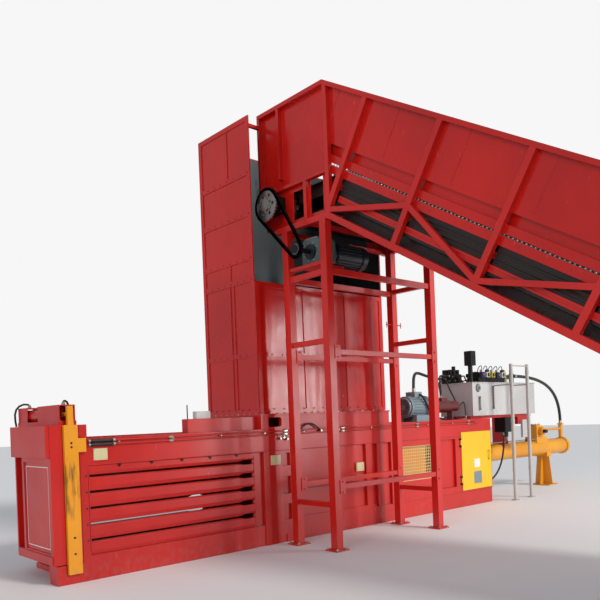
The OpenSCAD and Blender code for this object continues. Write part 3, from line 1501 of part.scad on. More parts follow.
base_frame();
chamber_floor();
end_flange();
near_slats();
far_slats();
top_beams();
chamber_roof();
near_press_wall();
far_press_wall();
near_rear_wall();
far_rear_wall();
rear_deck();
rear_bulkhead();
ram_guides();
mesh_guard();
access_door();
access_hinge();
shear_blade();
hopper_collar();
hopper_left_panel();
hopper_right_panel();
hopper_far_panel();
hopper_near_panel();
bale_door();
door_hinge();
lock_bar();
lock_cylinder();
ram();
ram_blade();
ram_tail_plate();
piston_rod();
main_cylinder();
cylinder_stand();
prefill_valve();
left_side();
right_side();
truss_chords();
truss_posts();
truss_diagonals();
truss_ties();
apron_rails();
apron();
head_shaft();
tail_shaft();
shaft_bearings();
drive_sprocket();
motor_sprocket();
drive_chain();
gearmotor();
support_legs();
support_ties();
leg_clamps();
oil_tank();
tank_frame();
pump_motor();
hydraulic_pump();
valve_block();
oil_hoses();
roof_pipes();
conduit_pipes();
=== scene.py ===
"""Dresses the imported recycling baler: enamel and wear, fasteners, welds, chain, hoses and valve gear.

Units are metres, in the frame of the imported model: X runs from the bale door to the main cylinder,
Z is up, and the conveyor lies towards -Y.
"""

from __future__ import annotations

import json
import logging
import math
from collections.abc import Iterable, Sequence
from dataclasses import dataclass, field
from enum import Enum

import bmesh
import bpy
from mathutils import Matrix, Vector
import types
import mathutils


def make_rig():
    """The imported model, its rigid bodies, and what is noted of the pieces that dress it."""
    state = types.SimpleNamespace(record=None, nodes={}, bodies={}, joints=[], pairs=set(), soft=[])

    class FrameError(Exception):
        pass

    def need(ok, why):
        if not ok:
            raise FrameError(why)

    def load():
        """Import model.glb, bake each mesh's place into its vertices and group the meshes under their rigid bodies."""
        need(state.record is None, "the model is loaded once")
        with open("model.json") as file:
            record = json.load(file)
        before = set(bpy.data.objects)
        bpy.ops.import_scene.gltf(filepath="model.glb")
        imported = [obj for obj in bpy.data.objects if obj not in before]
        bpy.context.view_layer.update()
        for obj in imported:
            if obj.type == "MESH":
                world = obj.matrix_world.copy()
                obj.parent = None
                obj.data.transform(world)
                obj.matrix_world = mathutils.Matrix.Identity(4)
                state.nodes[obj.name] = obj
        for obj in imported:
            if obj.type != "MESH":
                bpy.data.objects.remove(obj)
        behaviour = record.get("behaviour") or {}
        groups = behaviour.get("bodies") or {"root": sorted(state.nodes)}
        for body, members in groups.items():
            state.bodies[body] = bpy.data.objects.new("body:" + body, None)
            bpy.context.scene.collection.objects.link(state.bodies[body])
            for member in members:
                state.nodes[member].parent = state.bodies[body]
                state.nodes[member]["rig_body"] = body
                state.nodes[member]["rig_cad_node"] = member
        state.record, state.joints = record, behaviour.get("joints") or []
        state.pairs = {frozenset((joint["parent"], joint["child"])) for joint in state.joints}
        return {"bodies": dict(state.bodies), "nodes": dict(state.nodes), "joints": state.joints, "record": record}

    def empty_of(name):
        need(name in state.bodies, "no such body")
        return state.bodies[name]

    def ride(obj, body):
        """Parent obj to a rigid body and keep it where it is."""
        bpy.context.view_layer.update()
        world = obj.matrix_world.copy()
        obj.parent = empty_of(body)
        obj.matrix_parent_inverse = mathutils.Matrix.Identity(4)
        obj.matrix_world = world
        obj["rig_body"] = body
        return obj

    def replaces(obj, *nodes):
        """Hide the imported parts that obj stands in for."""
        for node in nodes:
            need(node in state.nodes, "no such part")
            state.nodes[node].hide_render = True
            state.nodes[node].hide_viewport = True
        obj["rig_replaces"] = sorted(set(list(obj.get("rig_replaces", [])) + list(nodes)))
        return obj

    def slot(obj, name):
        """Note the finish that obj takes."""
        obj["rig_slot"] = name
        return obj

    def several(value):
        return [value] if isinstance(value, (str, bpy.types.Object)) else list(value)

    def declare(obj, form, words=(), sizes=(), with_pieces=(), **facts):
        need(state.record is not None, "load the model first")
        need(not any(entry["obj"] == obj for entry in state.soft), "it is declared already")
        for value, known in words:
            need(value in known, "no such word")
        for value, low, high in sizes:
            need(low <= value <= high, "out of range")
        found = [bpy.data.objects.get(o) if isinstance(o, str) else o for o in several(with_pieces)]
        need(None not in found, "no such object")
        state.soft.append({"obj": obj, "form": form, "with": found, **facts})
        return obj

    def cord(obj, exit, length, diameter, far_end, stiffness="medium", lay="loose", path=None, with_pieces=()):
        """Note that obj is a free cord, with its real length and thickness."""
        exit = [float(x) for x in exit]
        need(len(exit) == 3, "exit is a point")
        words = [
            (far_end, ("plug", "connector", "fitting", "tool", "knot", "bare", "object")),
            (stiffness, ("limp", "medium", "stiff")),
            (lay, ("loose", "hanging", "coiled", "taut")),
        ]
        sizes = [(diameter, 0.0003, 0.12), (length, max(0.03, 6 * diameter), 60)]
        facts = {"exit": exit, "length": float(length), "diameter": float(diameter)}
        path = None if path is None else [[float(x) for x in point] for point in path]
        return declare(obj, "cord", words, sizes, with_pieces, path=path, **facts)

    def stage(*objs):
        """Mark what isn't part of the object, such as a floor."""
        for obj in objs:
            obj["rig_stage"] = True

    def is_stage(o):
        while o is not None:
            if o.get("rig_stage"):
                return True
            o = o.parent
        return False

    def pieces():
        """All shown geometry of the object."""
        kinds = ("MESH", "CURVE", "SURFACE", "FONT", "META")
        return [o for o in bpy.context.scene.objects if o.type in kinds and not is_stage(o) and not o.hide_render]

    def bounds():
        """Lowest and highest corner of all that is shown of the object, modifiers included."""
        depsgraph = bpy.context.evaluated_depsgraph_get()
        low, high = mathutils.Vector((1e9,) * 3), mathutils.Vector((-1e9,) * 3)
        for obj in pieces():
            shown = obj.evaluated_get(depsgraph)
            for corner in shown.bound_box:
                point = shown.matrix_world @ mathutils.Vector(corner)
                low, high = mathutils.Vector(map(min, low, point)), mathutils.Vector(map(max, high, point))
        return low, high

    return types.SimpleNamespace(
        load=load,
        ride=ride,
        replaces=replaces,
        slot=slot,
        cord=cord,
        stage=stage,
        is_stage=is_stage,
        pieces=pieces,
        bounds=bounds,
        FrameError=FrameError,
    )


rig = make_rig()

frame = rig.load()
CAD_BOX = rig.bounds()

log = logging.getLogger("baler")
Point = Sequence[float]
Socket = bpy.types.NodeSocket
Tree = bpy.types.NodeTree
Pair = tuple[float, float]

# directions: towards the near side, up, towards the rear, and towards the bale door
NEAR, UP, REAR, FRONT = (0, -1, 0), (0, 0, 1), (1, 0, 0), (-1, 0, 0)
# Y and Z of the axis of the conveyor's head shaft
HEAD_AXIS = (-0.688, 4.214)


class Body(Enum):
    """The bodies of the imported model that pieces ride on."""

    FRAME = "frame"
    DOOR = "bale_door"
    LOCK = "lock"
    HEAD_SHAFT = "head_shaft"
    MOTOR_SHAFT = "motor_shaft"
    ACCESS_DOOR = "access_door"


def linear(hex_colour: str) -> tuple[float, float, float, float]:
    """Turns an sRGB hex colour into linear RGBA.

    Args:
        hex_colour: six hex digits with a leading hash.

    Returns:
        Red, green, blue and alpha, linear.
    """
    parts = [int(hex_colour[i : i + 2], 16) / 255 for i in (1, 3, 5)]
    rgb = [p / 12.92 if p <= 0.04045 else ((p + 0.055) / 1.055) ** 2.4 for p in parts]
    return (*rgb, 1.0)


def add(tree: Tree, kind: str, settings: dict | None = None,
        links: dict | None = None) -> bpy.types.Node:
    """Adds a node with its settings, values and links.

    Args:
        tree: the node tree.
        kind: the node's type name.
        settings: attributes of the node.
        links: input name or number to a value, or to what feeds it: a socket, or a node by its first output.

    Returns:
        The node.
    """
    node = tree.nodes.new(kind)
    for name, value in (settings or {}).items():
        setattr(node, name, value)
    for key, value in (links or {}).items():
        if isinstance(value, bpy.types.Node):
            value = value.outputs[0]
        if isinstance(value, Socket):
            tree.links.new(value, node.inputs[key])
        else:
            node.inputs[key].default_value = value
    return node


def new_object(name: str, data: bpy.types.ID) -> bpy.types.Object:
    """Puts a new object with its data into the scene."""
    made = bpy.data.objects.new(name, data)
    bpy.context.scene.collection.objects.link(made)
    return made


class Shader:
    """A material under construction, with the sockets that most finishes share."""

    def __init__(self, name: str) -> None:
        """Starts an empty material.

        Args:
            name: the material's name.
        """
        self.material = bpy.data.materials.new(name)
        self.material.use_nodes = True
        self.tree = self.material.node_tree
        self.tree.nodes.clear()
        self.place = self.add("ShaderNodeTexCoord").outputs["Object"]
        self.geometry = self.add("ShaderNodeNewGeometry")

    def add(self, kind: str, settings: dict | None = None, links: dict | None = None) -> bpy.types.Node:
        """Adds a node to this material."""
        return add(self.tree, kind, settings, links)

    def noise(self, size: float, detail: float = 3, stretch: Point = (1, 1, 1),
              shift: Point = (0, 0, 0)) -> Socket:
        """A cloudy pattern from 0 to 1.

        Args:
            size: width of one cloud, in metres.
            detail: octaves.
            stretch: scale along each axis.
            shift: offset of the pattern.

        Returns:
            The pattern's output.
        """
        place = self.add("ShaderNodeMapping", None,
                         {"Vector": self.place, "Scale": stretch, "Location": shift})
        links = {"Vector": place, "Scale": 1 / size, "Detail": detail}
        return self.add("ShaderNodeTexNoise", None, links).outputs["Fac"]

    def band(self, value: Socket, low: float, high: float, to: Point = (0, 1)) -> Socket:
        """Maps low..high to a range, clamped."""
        links = {"Value": value, "From Min": low, "From Max": high, "To Min": to[0], "To Max": to[1]}
        return self.add("ShaderNodeMapRange", {"clamp": True}, links).outputs["Result"]

    def math(self, operation: str, a: Socket, b: Socket | float) -> Socket:
        """One step of arithmetic, clamped to 0..1."""
        settings = {"operation": operation, "use_clamp": True}
        return self.add("ShaderNodeMath", settings, {0: a, 1: b}).outputs[0]

    def mix(self, factor: Socket | float, a: object, b: object) -> Socket:
        """Mixes two colours, each a socket or RGBA."""
        return self.add("ShaderNodeMix", {"data_type": "RGBA"}, {0: factor, 6: a, 7: b}).outputs[2]

    def axis(self, socket: Socket, name: str) -> Socket:
        """One component of a vector."""
        return self.add("ShaderNodeSeparateXYZ", None, {0: socket}).outputs[name]

    def upward(self) -> Socket:
        """1 where the surface faces up."""
        return self.band(self.axis(self.geometry.outputs["Normal"], "Z"), 0.55, 0.95)

    def edges(self, radius: float) -> tuple[Socket, Socket]:
        """Rounded normals and a mask of the shape's edges.

        Args:
            radius: width of the rounding, in metres.

        Returns:
            The normal, and the mask from 0 to 1.
        """
        bevel = self.add("ShaderNodeBevel", {"samples": 4}, {"Radius": radius})
        along = self.add("ShaderNodeVectorMath", {"operation": "DOT_PRODUCT"},
                         {0: bevel, 1: self.geometry.outputs["True Normal"]})
        return bevel.outputs[0], self.band(along.outputs["Value"], 0.995, 0.85)

    def bump(self, height: Socket, strength: float, distance: float,
             normal: Socket | None = None) -> Socket:
        """A bump of the given depth in metres."""
        links = {"Height": height, "Strength": strength, "Distance": distance}
        if normal is not None:
            links["Normal"] = normal
        return self.add("ShaderNodeBump", None, links).outputs[0]

    def close(self, inputs: dict) -> bpy.types.Material:
        """Ends the material in a Principled shader.

        Args:
            inputs: the shader's inputs.

        Returns:
            The material.
        """
        shader = self.add("ShaderNodeBsdfPrincipled", None, inputs)
        self.add("ShaderNodeOutputMaterial", None, {"Surface": shader})
        return self.material


@dataclass(frozen=True)
class Enamel:
    """Sprayed alkyd enamel on steel: a satin colour with faint orange peel, dust on top and worn edges.

    Attributes:
        name: the material's name.
        colour: the paint where it is clean.
        shade: the paint where it was sprayed thinner or has dulled.
        gloss: roughness of the clean paint.
        dust: how much dust lies on upward faces.
        wear: how much of the edges is worn through.
        bare: colour under worn paint.
        wavy: depth of the sheet's slow waves, in metres, where it is thin.
        scuffed: lowest and highest Z of a rubbed stretch, or none.
        edge: width of the edges' rounding, in metres.
    """

    name: str
    colour: str
    shade: str
    gloss: float = 0.34
    dust: float = 0.45
    wear: float = 0.5
    bare: str = "#5C4A45"
    wavy: float = 0.0
    scuffed: Pair | None = None
    edge: float = 0.004

    def dirt(self, s: Shader) -> Socket:
        """Mask of the workshop dust on top and of the splashes near the floor."""
        low = s.band(s.axis(s.place, "Z"), 0.30, 0.0, (0, 0.34))
        cover = s.band(s.noise(0.22, 5), 0.3, 0.72, (0.25 * self.dust, self.dust))
        splash = s.math("MULTIPLY", low, s.band(s.noise(0.05, 6, (1, 1, 0.6)), 0.45, 0.7))
        return s.math("MAXIMUM", s.math("MULTIPLY", s.upward(), cover), splash)

    def rub(self, s: Shader, paint: Socket) -> Socket:
        """Lays dark streaks over the rubbed stretch, which fades out at both ends."""
        height, (low, high) = s.axis(s.place, "Z"), self.scuffed
        span = s.math("MULTIPLY", s.band(height, low, low + 0.12), s.band(height, high, high - 0.12))
        streak = s.band(s.noise(0.05, 6, (1, 1, 0.16), (5, 2, 4)), 0.5, 0.66, (0, 0.85))
        return s.mix(s.math("MULTIPLY", span, streak), paint, linear("#4A3A20"))

    def build(self) -> bpy.types.Material:
        """Builds the material."""
        s = Shader(self.name)
        paint = s.mix(s.band(s.noise(1.1, 4), 0.35, 0.68), linear(self.colour), linear(self.shade))
        # runs and wipe marks, drawn out along Z
        runs = s.band(s.noise(0.09, 3, (1, 1, 0.07)), 0.42, 0.75, (0, 0.22))
        paint = s.mix(runs, paint, linear(self.shade))
        # pale scuffs from handling, a few centimetres long
        scuffs = s.band(s.noise(0.035, 5, (1, 1, 0.3), (3, 1, 7)), 0.68, 0.76, (0, 0.12))
        paint = s.mix(scuffs, paint, linear("#D9B8AE"))
        dirt = self.dirt(s)
        paint = s.mix(dirt, paint, linear("#75645A"))
        normal, edge = s.edges(self.edge)
        chips = s.math("MULTIPLY", edge, s.band(s.noise(0.03, 5), 0.56, 0.62, (0, self.wear)))
        if self.scuffed:
            paint = self.rub(s, paint)
        paint = s.mix(chips, paint, linear(self.bare))
        rough = s.band(s.noise(0.35, 3), 0.3, 0.7, (self.gloss - 0.05, self.gloss + 0.08))
        rough = s.math("ADD", rough, s.math("MULTIPLY", dirt, 0.4))
        peel = s.bump(s.noise(0.0035, 1), 0.16, 0.0004, normal)
        if self.wavy:
            peel = s.bump(s.noise(0.3, 2, (1, 1, 0.22)), 1.0, self.wavy, peel)
        return s.close({"Base Color": paint, "Roughness": rough, "Normal": peel,
                        "Coat Weight": 0.15, "Coat Roughness": 0.2})


@dataclass(frozen=True)
class BareSteel:
    """Mild or machined steel left bare: brushed or turned, with a stain of oil and rust.

    Attributes:
        name: the material's name.
        colour: the clean metal.
        stain: colour of its film.
        stained: share of the surface under the film.
        rough: roughness of the metal.
        grain: length of the brush marks over their width, along X.
    """

    name: str
    colour: str
    stain: str
    stained: float = 0.35
    rough: float = 0.36
    grain: float = 8.0

    def build(self) -> bpy.types.Material:
        """Builds the material."""
        s = Shader(self.name)
        film = s.band(s.noise(0.12, 6), 0.62 - self.stained * 0.3, 0.72 - self.stained * 0.2)
        lines = s.noise(0.004, 2, (1 / self.grain, 1, 1))
        metal = s.mix(s.band(lines, 0.3, 0.7, (0, 0.35)), linear(self.colour), linear(self.stain))
        colour = s.mix(s.math("MULTIPLY", film, 0.75), metal, linear(self.stain))
        normal, edge = s.edges(0.0025)
        colour = s.mix(s.math("MULTIPLY", edge, 0.4), colour, linear("#C9C7C2"))
        rough = s.band(film, 0, 1, (self.rough, self.rough + 0.3))
        metallic = s.band(film, 0, 1, (1.0, 0.35))
        return s.close({"Base Color": colour, "Metallic": metallic, "Roughness": rough,
                        "Normal": s.bump(lines, 0.2, 0.0003, normal)})


@dataclass(frozen=True)
class OiledSteel:
    """Black oiled steel, as on chains and hinges: near black, with a greasy sheen and dust in it.

    Attributes:
        name: the material's name.
        colour: the oxide.
        rubbed: colour of its rubbed edges.
        dust: how much dust sticks to it.
    """

    name: str
    colour: str = "#1C1B1C"
    rubbed: str = "#5B5753"
    dust: float = 0.4

    def build(self) -> bpy.types.Material:
        """Builds the material."""
        s = Shader(self.name)
        normal, edge = s.edges(0.003)
        grease = s.noise(0.04, 5)
        colour = s.mix(s.math("MULTIPLY", edge, 0.7), linear(self.colour), linear(self.rubbed))
        sticking = s.math("MULTIPLY", s.upward(), s.band(s.noise(0.1, 5), 0.35, 0.7, (0, self.dust)))
        colour = s.mix(sticking, colour, linear("#6F645C"))
        rough = s.band(grease, 0.35, 0.65, (0.28, 0.55))
        return s.close({"Base Color": colour, "Metallic": 0.5, "Roughness": rough,
                        "Normal": s.bump(s.noise(0.006, 3), 0.3, 0.0005, normal)})


@dataclass(frozen=True)
class Moulded:
    """Moulded rubber or plastic: even colour, a fine texture and some dust.

    Attributes:
        name: the material's name.
        colour: the compound.
        rough: roughness.
        dust: how much dust lies on it.
        pitch: spacing of a spiral wrap along the piece's own V coordinate, or 0 for none.
    """

    name: str
    colour: str
    rough: float = 0.45
    dust: float = 0.25
    pitch: float = 0.0

    def build(self) -> bpy.types.Material:
        """Builds the material."""
        s = Shader(self.name)
        film = s.band(s.noise(0.06, 5), 0.35, 0.75, (0, self.dust))
        facing = s.axis(s.geometry.outputs["Normal"], "Z")
        film = s.math("MULTIPLY", film, s.band(facing, -0.4, 0.9, (0.25, 1)))
        colour = s.mix(film, linear(self.colour), linear("#83796F"))
        normal = s.bump(s.noise(0.0025, 2), 0.25, 0.0004)
        if self.pitch:
            # spiral guard: rounded turns, drawn from the tube's own UV map
            uv = s.add("ShaderNodeUVMap", {"uv_map": "length"})
            turns = s.add("ShaderNodeMapping", None, {"Vector": uv, "Scale": (1, 1 / self.pitch, 1)})
            wave = s.add("ShaderNodeTexWave", {"bands_direction": "DIAGONAL"},
                         {"Vector": turns, "Scale": 0.31})
            normal = s.bump(wave.outputs["Fac"], 0.8, 0.004, normal)
        return s.close({"Base Color": colour, "Roughness": s.math("ADD", film, self.rough), "Normal": normal})


@dataclass(frozen=True)
class Chrome:
    """Hard chromium plating, ground and polished, with a thin film of oil."""

    name: str = "hard_chrome"
    colour: str = "#C9CBCC"

    def build(self) -> bpy.types.Material:
        """Builds the material."""
        s = Shader(self.name)
        film = s.noise(0.07, 4, (0.3, 1, 1))
        colour = s.mix(s.band(film, 0.5, 0.8, (0, 0.35)), linear(self.colour), linear("#7D7364"))
        rough = s.band(film, 0.3, 0.8, (0.1, 0.3))
        return s.close({"Base Color": colour, "Metallic": 1.0, "Roughness": rough})


class Finish(Enum):
    """Every finish of the baler."""

    RED = Enamel("red_enamel", "#CB1A10", "#B4140C")
    RED_SHEET = Enamel("red_enamel_on_sheet", "#D01A0F", "#BA140C", gloss=0.2, wavy=0.006)
    RED_TRUSS = Enamel("red_enamel_on_tubes", "#D82015", "#BE170F", dust=0.3)
    ORANGE = Enamel("orange_enamel", "#E8A01A", "#D68C12", bare="#8C8378", wear=0.7)
    ORANGE_RUBBED = Enamel("orange_enamel_rubbed", "#F0A01A", "#E29214", bare="#5E5448", wear=0.45,
                           scuffed=(0.62, 1.3))
    YELLOW = Enamel("yellow_enamel", "#EFC50C", "#E2B40A", wear=0.3)
    WHITE = Enamel("white_enamel", "#C9C8C6", "#B4B2AF", gloss=0.3, dust=0.3, wear=0.25, bare="#8A7F74")
    CREAM_PLATE = Enamel("cream_plate", "#D9CDA0", "#CFC08C", gloss=0.4, dust=0.1, wear=0.2, edge=0.001)
    PAPER = Enamel("white_sheet", "#E8E6E0", "#DEDCD4", gloss=0.6, dust=0.1, wear=0.0, edge=0.001)
    MOTOR_BLUE = Enamel("motor_blue_grey", "#7E8F96", "#6E7F86", gloss=0.38, wear=0.4)
    GEARBOX = Enamel("gearbox_slate", "#5F6F6C", "#53605E", gloss=0.42, wear=0.4)
    NAVY = Enamel("motor_navy", "#1B2430", "#141B24", gloss=0.4, wear=0.3, dust=0.6)
    MAROON = Enamel("pump_dark_red", "#6B1F1E", "#541817", gloss=0.35, wear=0.3)
    VALVE_BLUE = Enamel("valve_navy", "#2B2A66", "#211F4C", gloss=0.4, wear=0.3)
    MESH_CREAM = Enamel("cream_enamel_on_mesh", "#E6C88A", "#CFA968", gloss=0.4, wear=0.4, edge=0.001)
    WEAR_PLATE = BareSteel("wear_plate", "#8B8884", "#5A4A3F", 0.5, 0.38, 20)
    MACHINED = BareSteel("machined_steel", "#A9A6A2", "#6A625B", 0.3, 0.34, 2)
    ZINC = BareSteel("zinc_plated_steel", "#B9B7AE", "#8E8468", 0.25, 0.3, 1)
    HOPPER_INSIDE = BareSteel("unpainted_sheet", "#4A5153", "#383C3C", 0.15, 0.5, 1)
    OILED = OiledSteel("oiled_steel")
    APRON = OiledSteel("apron_steel", "#2A2725", "#6B6158", 0.6)
    GUARD = OiledSteel("guard_steel", "#3A3230", "#6E5D58", 0.3)
    HOSE = Moulded("hose_cover", "#17181A", 0.42, 0.22, 0.03)
    CABLE = Moulded("cable_sheath", "#141416", 0.5, 0.2)
    BLACK_PLASTIC = Moulded("black_plastic", "#1B1B1D", 0.4, 0.3)
    WHITE_PLASTIC = Moulded("white_plastic", "#D8D7D2", 0.4, 0.2)
    YELLOW_PLASTIC = Moulded("yellow_plastic", "#D8C41E", 0.4, 0.15)
    CONDUIT = Moulded("grey_white_conduit", "#B9B9B6", 0.35, 0.35)
    GAUGE_GLASS = Moulded("gauge_glass", "#B9C0B8", 0.12, 0.05)
    CHROME = Chrome()

    @property
    def material(self) -> bpy.types.Material:
        """The finish's material, built on first use."""
        found = bpy.data.materials.get(self.value.name)
        return found or self.value.build()


NODE_FINISHES: dict[Finish, str] = {
    Finish.RED: "base_frame end_flange near_slats far_slats top_beams chamber_roof near_press_wall "
                "far_press_wall near_rear_wall far_rear_wall rear_deck rear_bulkhead hopper_collar bale_door "
                "lock_cylinder tank_frame roof_pipes",
    Finish.RED_SHEET: "hopper_left_panel hopper_right_panel hopper_far_panel hopper_near_panel "
                      "left_side right_side",
    Finish.RED_TRUSS: "truss_chords truss_posts truss_diagonals truss_ties "
                      "support_legs support_ties leg_clamps",
    Finish.ORANGE: "ram main_cylinder cylinder_stand prefill_valve",
    Finish.ORANGE_RUBBED: "lock_bar",
    Finish.YELLOW: "access_door",
    Finish.WHITE: "oil_tank",
    Finish.MOTOR_BLUE: "pump_motor",
    Finish.NAVY: "gearmotor",
    Finish.MAROON: "hydraulic_pump",
    Finish.WEAR_PLATE: "chamber_floor ram_guides shear_blade ram_blade ram_tail_plate",
    Finish.MACHINED: "head_shaft tail_shaft drive_sprocket",
    Finish.MESH_CREAM: "mesh_guard",
    Finish.CHROME: "piston_rod",
    Finish.OILED: "access_hinge door_hinge shaft_bearings drive_chain valve_block motor_sprocket",
    Finish.GUARD: "apron_rails",
    Finish.APRON: "apron",
    Finish.HOSE: "oil_hoses",
    Finish.CONDUIT: "conduit_pipes",
}


def dress_nodes() -> None:
    """Gives each CAD node its finish."""
    for finish, names in NODE_FINISHES.items():
        for name in names.split():
            node = frame["nodes"][name]
            node.data.materials.clear()
            node.data.materials.append(finish.material)
            log.info("node %s: %s", name, finish.value.name)


SLOTS: dict[Finish, str] = {
    Finish.RED: "red_paint", Finish.RED_SHEET: "red_paint", Finish.RED_TRUSS: "red_paint",
    Finish.ORANGE: "orange_paint", Finish.ORANGE_RUBBED: "orange_paint", Finish.YELLOW: "yellow_paint",
    Finish.MESH_CREAM: "yellow_paint",
    Finish.WHITE: "white_paint", Finish.CREAM_PLATE: "white_paint", Finish.PAPER: "white_paint",
    Finish.WHITE_PLASTIC: "white_paint", Finish.CONDUIT: "white_paint", Finish.GAUGE_GLASS: "white_paint",
    Finish.MOTOR_BLUE: "grey_paint", Finish.GEARBOX: "grey_paint", Finish.NAVY: "grey_paint",
    Finish.MAROON: "maroon_paint", Finish.VALVE_BLUE: "dark_steel", Finish.WEAR_PLATE: "wear_steel",
    Finish.MACHINED: "bright_steel", Finish.ZINC: "bright_steel", Finish.HOPPER_INSIDE: "wear_steel",
    Finish.OILED: "dark_steel", Finish.APRON: "dark_steel", Finish.GUARD: "dark_steel",
    Finish.HOSE: "hose_rubber", Finish.CABLE: "hose_rubber", Finish.BLACK_PLASTIC: "dark_steel",
    Finish.YELLOW_PLASTIC: "yellow_paint", Finish.CHROME: "chromed_rod",
}


def declare(name: str, mesh: bpy.types.Mesh, finish: Finish, body: Body, smooth: float) -> bpy.types.Object:
    """Makes a finished mesh a piece that rides on its body, with its finish and its slot.

    Args:
        name: the piece's name.
        mesh: its mesh, where it stands in the frame.
        finish: its finish.
        body: the body that it rides on.
        smooth: faces that meet at less than this angle, in degrees, are shaded as one surface.

    Returns:
        The piece.
    """
    mesh.name = name
    mesh.shade_smooth()
    mesh.set_sharp_from_angle(angle=math.radians(smooth))
    piece = new_object(name, mesh)
    piece.data.materials.clear()
    piece.data.materials.append(finish.material)
    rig.ride(piece, body.value)
    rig.slot(piece, SLOTS[finish])
    log.info("piece %s on %s: %s", piece.name, body.value, finish.value.name)
    return piece


def frame_of(direction: Vector) -> Matrix:
    """A rotation that turns +Z to a direction."""
    return direction.to_track_quat("Z", "Y").to_matrix().to_4x4()


def ring_path(centre: Point, radius: float, steps: int) -> list[Vector]:
    """A closed path of even steps round a centre, square to X."""
    x, y, z = centre
    turns = [2 * math.pi * k / steps for k in range(steps + 1)]
    return [Vector((x, y + radius * math.cos(t), z + radius * math.sin(t))) for t in turns]


class Shape:
    """A mesh under construction. Its parts are given where they stand in the frame."""

    def __init__(self) -> None:
        """Starts an empty mesh."""
        self.mesh = bmesh.new()
        self.uv = self.mesh.loops.layers.uv.new("length")

    def box(self, low: Point, high: Point, bevel: float = 0.0) -> Shape:
        """Adds a box between two corners, with rounded edges where bevel is above 0."""
        made = bmesh.ops.create_cube(self.mesh, size=1)["verts"]
        low, high = Vector(low), Vector(high)
        for vert in made:
            vert.co = Vector((low[i] + (vert.co[i] + 0.5) * (high[i] - low[i]) for i in range(3)))
        if bevel:
            edges = list({e for v in made for e in v.link_edges})
            bmesh.ops.bevel(self.mesh, geom=edges, offset=bevel, segments=2, profile=0.7, affect="EDGES")
        return self

    def lathe(self, base: Point, axis: Point, profile: Iterable[Pair], sides: int = 24) -> Shape:
        """Adds a turned part.

        Args:
            base: the point where the distance along the axis is 0.
            axis: the direction of the axis.
            profile: distance along the axis and radius of each point, from one end to the other.
            sides: facets round the axis.

        Returns:
            The shape itself.
        """
        place = Matrix.Translation(base) @ frame_of(Vector(axis))
        turns = [2 * math.pi * (k + 0.5) / sides for k in range(sides)]
        rings = []
        for along, radius in profile:
            ring = [place @ Vector((radius * math.cos(t), radius * math.sin(t), along)) for t in turns]
            rings.append([self.mesh.verts.new(corner) for corner in ring])
        for lower, upper in zip(rings, rings[1:]):
            for k in range(sides):
                j = (k + 1) % sides
                self.mesh.faces.new([lower[k], lower[j], upper[j], upper[k]])
        self.mesh.faces.new(list(reversed(rings[0])))
        self.mesh.faces.new(rings[-1])
        return self

    def fitting(self, base: Point, axis: Point, hexagon: Pair, neck: Pair) -> Shape:
        """Adds a hexagonal fitting with a neck, each given by where it ends along the axis and its radius."""
        (end, wide), (far, thin) = hexagon, neck
        return self.lathe(base, axis, [(0, wide), (end, wide), (end + 0.002, thin), (far, thin)], 6)

    def rod(self, start: Point, end: Point, radius: float, sides: int) -> Shape:
        """Adds a round bar."""
        axis = Vector(end) - Vector(start)
        return self.lathe(start, axis, [(0, radius), (axis.length, radius)], sides)

    def prism(self, outline: Sequence[Point], thickness: Point) -> Shape:
        """Adds a plate: a flat outline of points, drawn out by a vector."""
        first = [self.mesh.verts.new(p) for p in outline]
        second = [self.mesh.verts.new(Vector(p) + Vector(thickness)) for p in outline]
        self.mesh.faces.new(first)
        self.mesh.faces.new(list(reversed(second)))
        for k in range(len(first)):
            j = (k + 1) % len(first)
            self.mesh.faces.new([first[j], first[k], second[k], second[j]])
        return self

    def tube(self, path: Sequence[Point], radius: float, sides: int = 12) -> Shape:
        """Adds a tube along a path, with its length in metres in the V of its UV map."""
        points = [Vector(p) for p in path]
        turns = [2 * math.pi * k / sides for k in range(sides)]
        # any direction that no path runs along starts the frame, which then turns as little as it can
        side = Vector((0.31, 0.17, 0.94))
        rings, lengths, travelled = [], [], 0.0
        for i, point in enumerate(points):
            ahead = points[min(i + 1, len(points) - 1)] - point
            behind = point - points[max(i - 1, 0)]
            heading = (ahead.normalized() + behind.normalized()).normalized()
            side = (side - heading * side.dot(heading)).normalized()
            across = heading.cross(side)
            travelled += behind.length
            lengths.append(travelled)
            ring = [point + radius * (math.cos(t) * side + math.sin(t) * across) for t in turns]
            rings.append([self.mesh.verts.new(corner) for corner in ring])
        for i in range(len(rings) - 1):
            for k in range(sides):
                j = (k + 1) % sides
                face = self.mesh.faces.new([rings[i][k], rings[i][j], rings[i + 1][j], rings[i + 1][k]])
                for loop, (u, v) in zip(face.loops, ((k, i), (k + 1, i), (k + 1, i + 1), (k, i + 1))):
                    loop[self.uv].uv = (u / sides, lengths[v])
        self.mesh.faces.new(list(reversed(rings[0])))
        self.mesh.faces.new(rings[-1])
        return self

    def piece(self, name: str, finish: Finish, body: Body = Body.FRAME,
              smooth: float = 40.0) -> bpy.types.Object:
        """Ends the mesh as a piece, as declare() does."""
        bmesh.ops.recalc_face_normals(self.mesh, faces=self.mesh.faces)
        mesh = bpy.data.meshes.new(name)
        self.mesh.to_mesh(mesh)
        self.mesh.free()
        return declare(name, mesh, finish, body, smooth)


